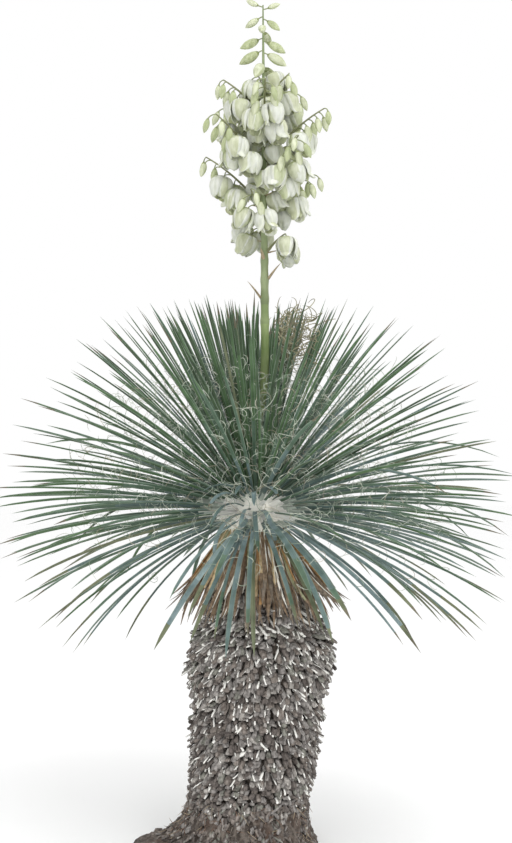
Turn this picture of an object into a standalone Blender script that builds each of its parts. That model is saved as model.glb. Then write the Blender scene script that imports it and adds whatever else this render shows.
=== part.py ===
"""A flowering soaptree yucca: one trunk in a coat of old leaf stubs, a skirt of dead leaves, a ball of
narrow green leaves in spiral order, and one flower stalk with a branched head of hanging bells.

Metres, +Z up. The origin is the middle of the flat cut at ground level. A front view looks along +Y.
"""

import math
import random

import bmesh
import bpy
from mathutils import Vector
from mathutils.bvhtree import BVHTree

# Whole plant
PLANT = "soaptree_yucca"
GOLDEN_ANGLE = math.radians(137.508)
GAP = 0.0003  # what one solid keeps from the next

# Trunk: height, sideways place of its middle line, and radius out to the tips of the old stubs
TRUNK_STATIONS = (
    (0.000, -0.018, 0.112),
    (0.100, -0.014, 0.118),
    (0.190, -0.002, 0.127),
    (0.290, 0.002, 0.130),
    (0.350, 0.008, 0.146),
    (0.410, 0.012, 0.139),
    (0.455, 0.011, 0.110),
    (0.530, 0.006, 0.080),
    (0.580, 0.002, 0.067),
)
TRUNK_SIDES = 22
STUB_TIERS = 7
STUB_TIERS_FROM, STUB_TIERS_TO = 0.10, 0.50
STUB_LIP = 0.014  # how far each tier of stubs stands out over the tier below
STUB_RAGGED = 0.005

# Root flare: direction in degrees, reach beyond the trunk at the ground, and how narrow the toe is
FLARE_TOES = ((180, 0.087, 2), (285, 0.030, 4), (70, 0.030, 4))
FLARE_ALL_ROUND = 0.030
FLARE_HEIGHT = 0.028  # height over which the flare falls to a third
FLARE_LEVELS = (0.0, 0.010, 0.025, 0.045, 0.070)

# Crown of the trunk, where the leaves sit: a dome on a short neck
CROWN_X, CROWN_Z, CROWN_RADIUS = 0.000, 0.668, 0.050
DOME_TOP_ANGLE, DOME_ANGLE_PER_AGE = math.radians(72), math.radians(105)
NECK_WIDENS = 0.022  # radius gained for each unit of age below the dome
DOME_AGE = DOME_TOP_ANGLE / DOME_ANGLE_PER_AGE

# Green leaves: age 0 is the youngest, upright in the heart, and 1 the oldest, drooping
LEAVES = 290
LEAF_LENGTH, HEART_SHORTER, OLDEST_SHORTER = 0.452, 0.27, 0.28
LEAF_WIDTH, HEART_WIDTH = 0.0130, 0.0090
LEAF_THICKNESS = 0.0048
HEART_ELEVATION, ELEVATION_PER_AGE = 86.0, -119.0
HEART_BEND, BEND_PER_AGE = 3.0, 23.0
BEND_POWER = 1.4
LEAF_SWAY, LEAF_LENGTH_SPREAD = 4.0, 0.06
# Name, age at the tier's lower edge, how many sectors it is parted into
LEAF_TIERS = (
    ("heart", 0.13, 3),
    ("inner", 0.30, 4),
    ("upper", 0.48, 5),
    ("level", 0.66, 6),
    ("lower", 0.83, 6),
    ("drooping", 1.00, 6),
)
COLLAR_DEPTH = 0.022  # the packed leaf bases, out from the crown
COLLAR_STEP = math.radians(15)
COLLAR_CLEAR = 0.0008  # from the crown's corners; its flats lie nearer the axis
ROOT_DEPTH = 0.014  # how deep a leaf is sunk in its collar
ROOT_MARGIN = 0.006

# Skirt of dead leaves
SKIRT_SECTORS, SKIRT_LEAVES = 6, 76
SKIRT_AGES = (1.03, 1.34)
SKIRT_ELEVATION, SKIRT_ELEVATION_FALL, SKIRT_BEND = -54.0, 10.0, 2.0
SKIRT_LENGTH, SKIRT_LENGTH_FALL, SKIRT_LENGTH_SPREAD = 0.200, 0.05, 0.14
SKIRT_WIDTH, SKIRT_THICKNESS = 0.0115, 0.0036

# Flower stalk
STALK_FOOT_X, STALK_X, STALK_TOP_X = 0.004, 0.018, 0.014
STALK_FOOT_Z, STALK_BEND_Z, STALK_TOP_Z = 0.7158, 1.000, 1.676
STALK_RADII = ((0.716, 0.0092), (1.05, 0.0082), (1.22, 0.0068), (1.42, 0.0042), (1.60, 0.0022), (1.68, 0.0013))
STALK_SIDES = 8
# Bracts of the stalk: height, direction in degrees, length
STALK_BRACTS = ((1.088, 178, 0.046), (1.126, -8, 0.044), (1.043, 15, 0.013), (1.165, 250, 0.030))
BRACT_RISE = 57.0

# Branches of the flower head, from the lowest up
BRANCHES = 15
BRANCH_FROM_Z, BRANCH_TO_Z = 1.180, 1.500
BRANCH_FIRST_AZIMUTH = math.radians(-24)
BRANCH_SHORTEST, BRANCH_LONGEST = 0.055, 0.158
BRANCH_RISE, BRANCH_BEND = 50.0, 20.0
BRANCH_RADIUS, BRANCH_TIP_RADIUS = 0.0030, 0.0013
BRANCH_SIDES = 5
BRANCH_TURN, BRANCH_TURNS = math.radians(9), 40  # a branch turns aside until it finds a free place

# Flowers: open bells, and buds at the ends of the branches and up the stalk's tip
FLOWER_SPACING = 0.0155
PEDICEL, PEDICEL_RADIUS = 0.015, 0.0011
PEDICEL_SUNK = 0.0006
BELL_LENGTH, BELL_SIDES = 0.046, 5
BELL_PROFILE = ((0.0, 0.16), (0.42, 0.50), (1.0, 0.34))
BUD_LENGTH, BUD_SIDES = 0.034, 5
BUD_PROFILE = ((0.0, 0.10), (0.45, 0.24), (1.0, 0.0))
TIP_BELLS, TIP_BELLS_FROM_Z = 7, 1.525
TIP_BUDS, TIP_BUDS_FROM_Z = 11, 1.590

MATERIALS = {
    "bark": ((0.13, 0.105, 0.085), 0.9),
    "dead_leaf": ((0.20, 0.125, 0.065), 0.8),
    "green_leaf": ((0.085, 0.155, 0.105), 0.55),
    "stalk_green": ((0.23, 0.33, 0.12), 0.6),
    "petal": ((0.72, 0.76, 0.58), 0.5),
}


def clear_scene():
    for old in list(bpy.data.objects):
        bpy.data.objects.remove(old, do_unlink=True)


def make_materials():
    made = {}
    for name, (colour, roughness) in MATERIALS.items():
        made[name] = bpy.data.materials.new(name)
        made[name].use_nodes = True
        shader = made[name].node_tree.nodes["Principled BSDF"]
        shader.inputs["Base Color"].default_value = (*colour, 1)
        shader.inputs["Roughness"].default_value = roughness
    return made


def between(stations, at):
    """The row of stations at this height, in straight steps between the rows given."""
    for low, high in zip(stations, stations[1:]):
        if at <= high[0]:
            break
    share = min(max((at - low[0]) / (high[0] - low[0]), 0), 1)
    return [a + (b - a) * share for a, b in zip(low, high)]


def facing(azimuth, elevation=0.0):
    level = math.cos(elevation)
    return Vector((math.cos(azimuth) * level, math.sin(azimuth) * level, math.sin(elevation)))


def lofted(rings):
    """A closed body through rings of points: a cylinder cut into rings, each moved to its place.
    A last ring drawn together into one point makes a tip."""
    body = bmesh.new()
    sides, levels = len(rings[0]), len(rings)
    bmesh.ops.create_cone(body, cap_ends=True, segments=sides, radius1=1, radius2=1, depth=2)
    upright = [e for e in body.edges if abs(e.verts[0].co.z - e.verts[1].co.z) > 1]
    if levels > 2:
        bmesh.ops.subdivide_edges(body, edges=upright, cuts=levels - 2)
    for point in body.verts:
        level = round((point.co.z + 1) / 2 * (levels - 1))
        turn = round(math.atan2(point.co.y, point.co.x) / math.tau * sides - sides / 4)
        point.co = rings[level][turn % sides]
    bmesh.ops.remove_doubles(body, verts=body.verts, dist=1e-6)
    bmesh.ops.triangulate(body, faces=body.faces)
    bmesh.ops.recalc_face_normals(body, faces=body.faces)
    return body


def add_object(name, body, collection, material):
    mesh = bpy.data.meshes.new(name)
    body.to_mesh(mesh)
    body.free()
    mesh.materials.append(material)
    made = bpy.data.objects.new(name, mesh)
    collection.objects.link(made)
    return made


def fused(name, bodies, collection, material, solver="EXACT"):
    """One object from bodies that overlap each other, by one Boolean union on a collection."""
    helpers = bpy.data.collections.new(name + "_pieces")
    bpy.context.scene.collection.children.link(helpers)
    base = add_object(name, bodies[0], collection, material)
    for body in bodies[1:]:
        add_object(name + "_piece", body, helpers, material)
    union = base.modifiers.new("union", "BOOLEAN")
    union.operation = "UNION"
    union.operand_type = "COLLECTION"
    union.collection = helpers
    union.solver = solver
    bpy.context.view_layer.update()
    graph = bpy.context.evaluated_depsgraph_get()
    joined = bpy.data.meshes.new_from_object(base.evaluated_get(graph))
    base.modifiers.clear()
    base.data = joined
    for helper in list(helpers.objects):
        bpy.data.objects.remove(helper, do_unlink=True)
    bpy.data.collections.remove(helpers)
    return base


class Room:
    """What the pieces fill so far, so that a new leaf or flower finds a free place."""

    def __init__(self):
        self.filled = []

    def free(self, body, seat):
        """Whether this body clears every piece but its own seat."""
        tree = BVHTree.FromBMesh(body)
        return all(piece == seat or not other.overlap(tree) for piece, other in self.filled)

    def fill(self, piece, body):
        self.filled.append((piece, BVHTree.FromBMesh(body)))


# Trunk


def flare(azimuth, height):
    """How far the root flare stands out of the trunk in this direction, at this height."""
    reach = FLARE_ALL_ROUND
    for direction, toe, narrow in FLARE_TOES:
        reach += toe * max(0.0, math.cos(azimuth - math.radians(direction))) ** narrow
    return reach * math.exp(-height / FLARE_HEIGHT)


def crown_surface(age):
    """Radius and height of the crown at the seat of a leaf of this age."""
    angle = DOME_TOP_ANGLE - DOME_ANGLE_PER_AGE * age
    if angle > 0:
        return CROWN_RADIUS * math.cos(angle), CROWN_Z + CROWN_RADIUS * math.sin(angle)
    below = age - DOME_AGE
    return CROWN_RADIUS + NECK_WIDENS * below, CROWN_Z - CROWN_RADIUS * DOME_ANGLE_PER_AGE * below


def level_ring(middle_x, height, radius_at):
    turns = [math.tau * k / TRUNK_SIDES for k in range(TRUNK_SIDES)]
    return [Vector((middle_x, 0, height)) + facing(turn) * radius_at(turn) for turn in turns]


def build_trunk(parts, materials):
    ragged = random.Random(11)
    rings = []
    for height in FLARE_LEVELS:
        _, middle, radius = between(TRUNK_STATIONS, height)
        rings.append(level_ring(middle, height, lambda turn: radius + flare(turn, height)))
    tier_height = (STUB_TIERS_TO - STUB_TIERS_FROM) / STUB_TIERS
    for tier in range(STUB_TIERS + 1):
        lip_height = STUB_TIERS_FROM + tier * tier_height
        for height, depth, rough in ((lip_height - 0.006, STUB_LIP, 0), (lip_height, 0, STUB_RAGGED)):
            _, middle, radius = between(TRUNK_STATIONS, height)
            rings.append(
                level_ring(middle, height, lambda turn: radius - depth + flare(turn, height) + ragged.uniform(-rough, rough))
            )
    for height in (TRUNK_STATIONS[-2][0], TRUNK_STATIONS[-1][0]):
        _, middle, radius = between(TRUNK_STATIONS, height)
        rings.append(level_ring(middle, height, lambda turn: radius))
    edges = [SKIRT_AGES[1]] + [tier[1] for tier in reversed(LEAF_TIERS)] + [0.0]
    for age in edges:
        radius, height = crown_surface(age)
        rings.append(level_ring(CROWN_X, height, lambda turn: radius))
    body = lofted(rings)
    trunk = add_object("trunk", body, parts, materials["bark"])
    trunk.data.shade_smooth()
    trunk.data.set_sharp_from_angle(angle=math.radians(35))
    return trunk


# Leaves


def collar(ages, azimuths):
    """The packed bases of a group of leaves: a block that hugs the crown between two ages and two azimuths."""
    steps = max(2, math.ceil((azimuths[1] - azimuths[0]) / COLLAR_STEP))
    rings = []
    for k in range(steps + 1):
        azimuth = azimuths[0] + (azimuths[1] - azimuths[0]) * k / steps
        ring = []
        for age, depth in ((ages[1], 0), (ages[1], COLLAR_DEPTH), (ages[0], COLLAR_DEPTH), (ages[0], 0)):
            radius, height = crown_surface(age)
            seat = Vector((CROWN_X, 0, height)) + facing(azimuth) * (radius + COLLAR_CLEAR)
            ring.append(seat + facing(azimuth, root_elevation(min(age, 1.0))) * depth)
        rings.append(ring)
    return lofted(rings)


def root_elevation(age):
    return math.radians(HEART_ELEVATION + ELEVATION_PER_AGE * age)


def blade_width(share):
    """Width of a blade, as a share of its widest, along its length."""
    return (0.7 + 0.3 * min(1.0, share / 0.3)) * max(0.0, 1 - share**2.5) ** 0.8


def blade_path(root, azimuth, elevation, bend, length, steps):
    """Points along a blade that leaves its root at this elevation and bends down by the time it ends."""
    points = [root]
    for k in range(steps):
        angle = elevation - bend * ((k + 0.5) / steps) ** BEND_POWER
        points.append(points[-1] + facing(azimuth, angle) * (length / steps))
    return points


def blade(path, azimuth, width, thickness, swell=0.0):
    """A blade of three sides, flat above and keeled below, on this path."""
    across = facing(azimuth + math.pi / 2)
    rings = []
    for k, point in enumerate(path):
        along = (path[min(k + 1, len(path) - 1)] - path[max(k - 1, 0)]).normalized()
        up = along.cross(across)
        share = k / (len(path) - 1)
        half = across * (width * blade_width(share) / 2 + swell)
        thick = up * (thickness * blade_width(share) ** 0.7 + 2 * swell)
        rings.append([point + thick / 3 + half, point + thick / 3 - half, point - thick * 2 / 3])
    if not swell:
        rings[-1] = [path[-1]] * 3
    return lofted(rings)


def seated_root(age, azimuth, ages, azimuths):
    """The root of a leaf, kept inside its own collar."""
    age_margin = ROOT_MARGIN * 0.6 / (CROWN_RADIUS * DOME_ANGLE_PER_AGE)
    age = min(max(age, ages[0] + age_margin), ages[1] - age_margin)
    radius, height = crown_surface(age)
    margin = ROOT_MARGIN / radius
    azimuth = min(max(azimuth, azimuths[0] + margin), azimuths[1] - margin)
    seat = Vector((CROWN_X, 0, height)) + facing(azimuth) * (radius + COLLAR_CLEAR)
    return seat + facing(azimuth, root_elevation(min(age, 1.0))) * (COLLAR_DEPTH - ROOT_DEPTH)


def leaf_length(age):
    young = max(0.0, 1 - age / 0.65)
    old = max(0.0, (age - 0.8) / 0.2)
    return LEAF_LENGTH * (1 - HEART_SHORTER * young**2 - OLDEST_SHORTER * old**1.5)


def sector_of(azimuth, sectors):
    """Which sector an azimuth falls in, and the sector's own limits."""
    turn = math.tau / sectors
    azimuth %= math.tau
    index = int(azimuth / turn)
    return index, (index * turn, (index + 1) * turn), azimuth


def narrowed(ages, azimuths):
    """The limits of a collar, drawn in so that it clears the next ones."""
    age_gap = 1.3 * GAP / (CROWN_RADIUS * DOME_ANGLE_PER_AGE)
    turn_gap = 1.3 * GAP / crown_surface(max(ages[0], 0.0))[0]
    return (ages[0] + age_gap, ages[1] - age_gap), (azimuths[0] + turn_gap, azimuths[1] - turn_gap)


def place_blade(room, node, root, azimuth, shape, tries, luck):
    """Adds a blade where it clears all but its collar, swaying it a little until it does. None if it can't."""
    elevation, bend, length, width, thickness, steps = shape
    for _ in range(tries):
        path = blade_path(root, azimuth, elevation, bend, length, steps)
        swollen = blade(path, azimuth, width, thickness, swell=2 * GAP)
        clear = room.free(swollen, node)
        swollen.free()
        if clear:
            body = blade(path, azimuth, width, thickness)
            room.fill(node + " leaf", body)
            return body
        azimuth += math.radians(luck.uniform(-LEAF_SWAY, LEAF_SWAY))
        elevation += math.radians(luck.uniform(-LEAF_SWAY, LEAF_SWAY) / 2)
    return None


def build_leaves(parts, materials, room):
    luck = random.Random(21)
    groups = {}
    start = 0.0
    for name, end, sectors in LEAF_TIERS:
        for index in range(sectors):
            turn = math.tau / sectors
            ages, azimuths = narrowed((start, end), (index * turn, (index + 1) * turn))
            body = collar(ages, azimuths)
            node = f"leaves_{name}_{index + 1}"
            room.fill(node, body)
            groups[node] = [body]
        start = end
    skipped = 0
    for leaf in range(LEAVES):
        age = (leaf + 0.5) / LEAVES
        sway = [luck.uniform(-1, 1) for _ in range(4)]
        start = 0.0
        for name, end, sectors in LEAF_TIERS:
            if age <= end:
                break
            start = end
        index, limits, azimuth = sector_of(leaf * GOLDEN_ANGLE, sectors)
        node = f"leaves_{name}_{index + 1}"
        root = seated_root(age, azimuth, (start, end), limits)
        elevation = root_elevation(age) + math.radians(LEAF_SWAY * sway[0])
        azimuth += math.radians(LEAF_SWAY * sway[1])
        bend = math.radians((HEART_BEND + BEND_PER_AGE * age) * (1 + 0.3 * sway[2]))
        length = leaf_length(age) * (1 + LEAF_LENGTH_SPREAD * sway[3])
        width = HEART_WIDTH + (LEAF_WIDTH - HEART_WIDTH) * min(1.0, age / 0.3)
        steps = 2 if age < 0.55 else 3
        shape = (elevation, bend, length, width, LEAF_THICKNESS, steps)
        body = place_blade(room, node, root, azimuth, shape, 8, luck)
        if body is None:
            skipped += 1
        else:
            groups[node].append(body)
    print("green leaves:", LEAVES - skipped, "placed,", skipped, "skipped")
    for node, bodies in groups.items():
        fused(node, bodies, parts, materials["green_leaf"])


def build_skirt(parts, materials, room):
    luck = random.Random(31)
    groups = {}
    turn = math.tau / SKIRT_SECTORS
    for index in range(SKIRT_SECTORS):
        ages, azimuths = narrowed(SKIRT_AGES, (index * turn, (index + 1) * turn))
        body = collar(ages, azimuths)
        node = f"dead_skirt_{index + 1}"
        room.fill(node, body)
        groups[node] = [body]
    skipped = 0
    for leaf in range(SKIRT_LEAVES):
        share = (leaf + 0.5) / SKIRT_LEAVES
        age = SKIRT_AGES[0] + (SKIRT_AGES[1] - SKIRT_AGES[0]) * share
        index, limits, azimuth = sector_of((LEAVES + leaf) * GOLDEN_ANGLE, SKIRT_SECTORS)
        node = f"dead_skirt_{index + 1}"
        root = seated_root(age, azimuth, SKIRT_AGES, limits)
        elevation = math.radians(SKIRT_ELEVATION - SKIRT_ELEVATION_FALL * share + luck.uniform(-4, 4))
        length = (SKIRT_LENGTH - SKIRT_LENGTH_FALL * share) * (1 + luck.uniform(-1, 1) * SKIRT_LENGTH_SPREAD)
        shape = (elevation, math.radians(SKIRT_BEND), length, SKIRT_WIDTH, SKIRT_THICKNESS, 2)
        body = place_blade(room, node, root, azimuth, shape, 8, luck)
        if body is None:
            skipped += 1
        else:
            groups[node].append(body)
    print("dead leaves:", SKIRT_LEAVES - skipped, "placed,", skipped, "skipped")
    for node, bodies in groups.items():
        fused(node, bodies, parts, materials["dead_leaf"])


# Flower stalk and its head


def stalk_middle(height):
    """The stalk's middle line: it leans over from the crown, then stands upright."""
    if height < STALK_BEND_Z:
        share = (height - STALK_FOOT_Z) / (STALK_BEND_Z - STALK_FOOT_Z)
        x = STALK_FOOT_X + (STALK_X - STALK_FOOT_X) * math.sin(share * math.pi / 2)
    else:
        share = (height - STALK_BEND_Z) / (STALK_TOP_Z - STALK_BEND_Z)
        x = STALK_X + (STALK_TOP_X - STALK_X) * share
    return Vector((x, 0, height))


def stalk_radius(height):
    return between(STALK_RADII, height)[1]


def round_ring(middle, along, side, radius, sides):
    """A ring across a stem. The same side given for all rings of a stem keeps it from twisting."""
    across = (side - along * side.dot(along)).normalized()
    up = along.cross(across)
    turns = [math.tau * k / sides for k in range(sides)]
    return [middle + (across * math.cos(turn) + up * math.sin(turn)) * radius for turn in turns]


def tapered(path, radii, sides, foot=None):
    """A tapering stem along a path. Its foot is cut square to the path, or to the direction given."""
    side = (path[-1] - path[0]).orthogonal()
    rings = []
    for k, (point, radius) in enumerate(zip(path, radii)):
        along = (path[min(k + 1, len(path) - 1)] - path[max(k - 1, 0)]).normalized()
        if k == 0 and foot:
            along = foot
        rings.append(round_ring(point, along, side, radius, sides))
    return lofted(rings)


def turned(top, down, length, profile, sides, swell=0.0):
    """A bell or bud that hangs from its top: a turned profile of a few sides."""
    side = down.orthogonal()
    rings = [round_ring(top + down * length * at, down, side, length * radius + swell, sides) for at, radius in profile]
    if profile[-1][1] == 0 and not swell:
        rings[-1] = [top + down * length] * sides
    return lofted(rings)


def flower_bodies(base, outward, down, is_bud, size, swell=0.0):
    """A stem and its bell or bud: the stem leaves along outward and turns down."""
    pedicel = PEDICEL * (0.7 if is_bud else 1.0)
    top = base + outward * pedicel * 0.7 + down * pedicel * 0.5
    length, profile, sides = (
        (BUD_LENGTH * size, BUD_PROFILE, BUD_SIDES) if is_bud else (BELL_LENGTH * size, BELL_PROFILE, BELL_SIDES)
    )
    foot = base - (top - base).normalized() * PEDICEL_SUNK
    stem = tapered([foot, top + down * length * 0.12], [PEDICEL_RADIUS + swell] * 2, 3)
    return stem, turned(top, down, length, profile, sides, swell)


def place_flower(room, node, base, outward, is_bud, size, luck):
    """Adds a flower where it clears all but its own branch, turning it round its stem until it does."""
    for _ in range(9):
        lean = outward * luck.uniform(0.15, 0.5) + Vector((0, 0, -1))
        down = lean.normalized()
        stem, head = flower_bodies(base, outward, down, is_bud, size, swell=2 * GAP)
        clear = room.free(stem, node) and room.free(head, "")
        stem.free()
        head.free()
        if clear:
            made = flower_bodies(base, outward, down, is_bud, size)
            for body in made:
                room.fill(node + " flower", body)
            return list(made)
        turn = luck.uniform(-0.7, 0.7)
        outward = (outward + facing(math.atan2(outward.y, outward.x) + turn) * 0.8).normalized()
    return []


def head_swell(share):
    """How long the branches are up the head, from 0 to 1: short at the foot and at the tip."""
    rise = min(1.0, share / 0.28)
    fall = min(1.0, (1.08 - share) / 0.45)
    return (rise * rise * (3 - 2 * rise)) * (fall * fall * (3 - 2 * fall))


def build_branch(index, parts, materials, room, luck):
    share = index / (BRANCHES - 1)
    node = f"flower_branch_{index + 1:02d}"
    height = BRANCH_FROM_Z + (BRANCH_TO_Z - BRANCH_FROM_Z) * share
    azimuth = BRANCH_FIRST_AZIMUTH + index * GOLDEN_ANGLE
    length = BRANCH_SHORTEST + (BRANCH_LONGEST - BRANCH_SHORTEST) * head_swell(share)
    steps = 3
    taper = [BRANCH_RADIUS + (BRANCH_TIP_RADIUS - BRANCH_RADIUS) * k / steps for k in range(steps + 1)]
    for _ in range(BRANCH_TURNS):
        azimuth += BRANCH_TURN
        start = stalk_middle(height) + facing(azimuth) * (stalk_radius(height) + GAP)
        path = blade_path(start, azimuth, math.radians(BRANCH_RISE), math.radians(BRANCH_BEND), length, steps)
        stem = tapered(path, taper, BRANCH_SIDES, foot=facing(azimuth))
        if room.free(stem, "flower_stalk"):
            break
    else:
        return 0
    room.fill(node, stem)
    bodies = [stem]
    places = max(2, round(length / FLOWER_SPACING))
    for place in range(places):
        at = (place + 0.95) / places
        is_bud = length > 0.09 and at > 0.72
        size = 1.0 - 0.15 * at if not is_bud else 1.0 - 0.9 * (at - 0.72)
        segment = min(int(at * steps), steps - 1)
        base = path[segment].lerp(path[segment + 1], at * steps - segment)
        side = azimuth + (math.pi / 2.4) * (-1 if place % 2 else 1)
        outward = (facing(side) + facing(azimuth) * 0.35).normalized()
        bodies += place_flower(room, node, base, outward, is_bud, size, luck)
    fused(node, bodies, parts, materials["petal"], solver="MANIFOLD")
    return len(bodies) // 2


def build_stalk(parts, materials, room):
    luck = random.Random(41)
    heights = [STALK_FOOT_Z, 0.80, 0.90, 1.05, 1.22, 1.42, 1.60, STALK_TOP_Z]
    path = [stalk_middle(height) for height in heights]
    stem = tapered(path, [stalk_radius(height) for height in heights], STALK_SIDES, foot=Vector((0, 0, 1)))
    room.fill("flower_stalk", stem)
    bodies = [stem]
    for height, direction, length in STALK_BRACTS:
        azimuth = math.radians(direction)
        root = stalk_middle(height) + facing(azimuth) * (stalk_radius(height) * 0.5)
        path = blade_path(root, azimuth, math.radians(BRACT_RISE), 0, length, 2)
        body = blade(path, azimuth, 0.3 * length, 0.0024)
        room.fill("flower_stalk", body)
        bodies.append(body)
    for bell in range(TIP_BELLS):
        height = TIP_BELLS_FROM_Z + (TIP_BUDS_FROM_Z - TIP_BELLS_FROM_Z) * bell / TIP_BELLS
        outward = facing(bell * GOLDEN_ANGLE)
        bodies += place_flower(room, "flower_stalk", stalk_middle(height), outward, False, 0.86, luck)
    for bud in range(TIP_BUDS):
        share = bud / (TIP_BUDS - 1)
        height = TIP_BUDS_FROM_Z + (STALK_TOP_Z - 0.002 - TIP_BUDS_FROM_Z) * share**0.8
        azimuth = 0.35 + bud * math.pi + luck.uniform(-0.6, 0.6)
        fall = math.radians(-38 + 60 * max(0.0, share - 0.6) / 0.4)
        outward = facing(azimuth, fall / 2)
        stem, bulb = flower_bodies(stalk_middle(height), outward, facing(azimuth, fall), True, 1 - 0.35 * share)
        room.fill("tip bud", stem)
        room.fill("tip bud", bulb)
        bodies += [stem, bulb]
    fused("flower_stalk", bodies, parts, materials["stalk_green"], solver="MANIFOLD")


def main():
    clear_scene()
    parts = bpy.data.collections.new(PLANT)
    bpy.context.scene.collection.children.link(parts)
    materials = make_materials()
    room = Room()
    build_trunk(parts, materials)
    build_leaves(parts, materials, room)
    build_skirt(parts, materials, room)
    build_stalk(parts, materials, room)
    luck = random.Random(51)
    flowers = sum(build_branch(index, parts, materials, room, luck) for index in range(BRANCHES))
    print("flowers and buds on the branches:", flowers)
    print("objects:", len(parts.objects), "triangles:", sum(len(o.data.loop_triangles) for o in parts.objects))


main()
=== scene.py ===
# %% [markdown]
# A soaptree yucca in flower. The solid model gives the frame: a trunk, groups of leaves, a stalk and
# its flower branches. This lesson dresses that frame with what the real plant shows, one kind of piece
# at a time: stubs, leaves, fibres, flowers.

# %% Load the frame
import math

import bpy
import numpy as np
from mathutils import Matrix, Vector, noise


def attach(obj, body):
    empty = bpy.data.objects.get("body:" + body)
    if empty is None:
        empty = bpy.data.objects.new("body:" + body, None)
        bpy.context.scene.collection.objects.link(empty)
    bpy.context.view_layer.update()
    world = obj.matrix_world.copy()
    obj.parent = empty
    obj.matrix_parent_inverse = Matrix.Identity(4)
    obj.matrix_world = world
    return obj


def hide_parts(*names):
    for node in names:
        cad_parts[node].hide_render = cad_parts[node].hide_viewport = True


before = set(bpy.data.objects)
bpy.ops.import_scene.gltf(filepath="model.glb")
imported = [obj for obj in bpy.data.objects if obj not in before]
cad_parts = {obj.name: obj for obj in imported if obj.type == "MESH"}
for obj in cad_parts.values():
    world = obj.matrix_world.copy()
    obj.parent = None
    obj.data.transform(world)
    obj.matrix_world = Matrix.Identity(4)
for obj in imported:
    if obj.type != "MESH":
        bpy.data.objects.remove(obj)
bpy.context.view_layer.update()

# %% [markdown]
# The photo is taken from straight ahead at half the plant's height, from far enough that little is
# foreshortened. One pixel at the trunk is 2 mm, so the lens follows from the distance and the picture's
# height. The ground lies exactly at the picture's lower edge.

# %% The camera
PICTURE_HEIGHT = 1.686
CAMERA_DISTANCE = 3.5
SENSOR = 36.0
camera_data = bpy.data.cameras.new("camera")
camera_data.sensor_width = SENSOR
camera_data.lens = SENSOR * CAMERA_DISTANCE / PICTURE_HEIGHT
camera = bpy.data.objects.new("camera", camera_data)
camera.location = (0, -CAMERA_DISTANCE, PICTURE_HEIGHT / 2)
camera.rotation_euler = (math.pi / 2, 0, 0)
bpy.context.scene.collection.objects.link(camera)
bpy.context.scene.camera = camera
print("lens", round(camera_data.lens, 1), "mm")

# %% [markdown]
# The plant is cut out on white and was lit by a bright, even sky. A white world gives that light, a
# wide lamp above and to the right gives the leaves a lit side, and a weaker one low on the left lights
# the shade under the crown. The plain Standard transform keeps the whites white.

# %% Light
SKY_STRENGTH = 1.0
LAMPS_AIM_AT = Vector((0, 0, 0.8))
LAMPS = {"key": ((1.2, -2.8, 4.4), 2.2, 85), "low_fill": ((-0.6, -4.0, 0.5), 2.5, 34)}
world = bpy.data.worlds.new("sky")
world.use_nodes = True
world.node_tree.nodes["Background"].inputs["Color"].default_value = (1, 1, 1, 1)
world.node_tree.nodes["Background"].inputs["Strength"].default_value = SKY_STRENGTH
bpy.context.scene.world = world
bpy.context.scene.view_settings.view_transform = "Standard"
for name, (place, size, power) in LAMPS.items():
    lamp_data = bpy.data.lights.new(name, "AREA")
    lamp_data.size = size
    lamp_data.energy = power
    lamp = bpy.data.objects.new(name, lamp_data)
    lamp.location = place
    lamp.rotation_euler = (LAMPS_AIM_AT - Vector(place)).to_track_quat("-Z", "Y").to_euler()
    bpy.context.scene.collection.objects.link(lamp)
print("white sky and", len(LAMPS), "lamps")

# %% [markdown]
# Colours here vary a little over every surface, as living and dead tissue does. That takes sums on
# masks. Drawn as nodes one by one they are hard to follow, so one small class wraps a node's output
# and takes the arithmetic: each plus, minus or times adds one Math node.


# %% Sockets as Python values
class Wire:
    """A node's output, on which sums can be done."""

    def __init__(self, finish, socket):
        self.finish = finish
        self.socket = socket

    def reckon(self, operation, first, second):
        return self.finish.node("ShaderNodeMath", {"operation": operation}, {0: first, 1: second})

    def __add__(self, other):
        return self.reckon("ADD", self, other)

    def __sub__(self, other):
        return self.reckon("SUBTRACT", self, other)

    def __rsub__(self, other):
        return self.reckon("SUBTRACT", other, self)

    def __mul__(self, other):
        return self.reckon("MULTIPLY", self, other)

    __radd__ = __add__
    __rmul__ = __mul__


print("a wire takes +, - and *")

# %% [markdown]
# A finish is one material. Any other node comes from a single method, from its kind, its settings and
# what goes into its sockets. The few habits that most finishes share, such as two colours dealt out by
# a mask, are methods too, so each finish is described in a few lines.


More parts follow.
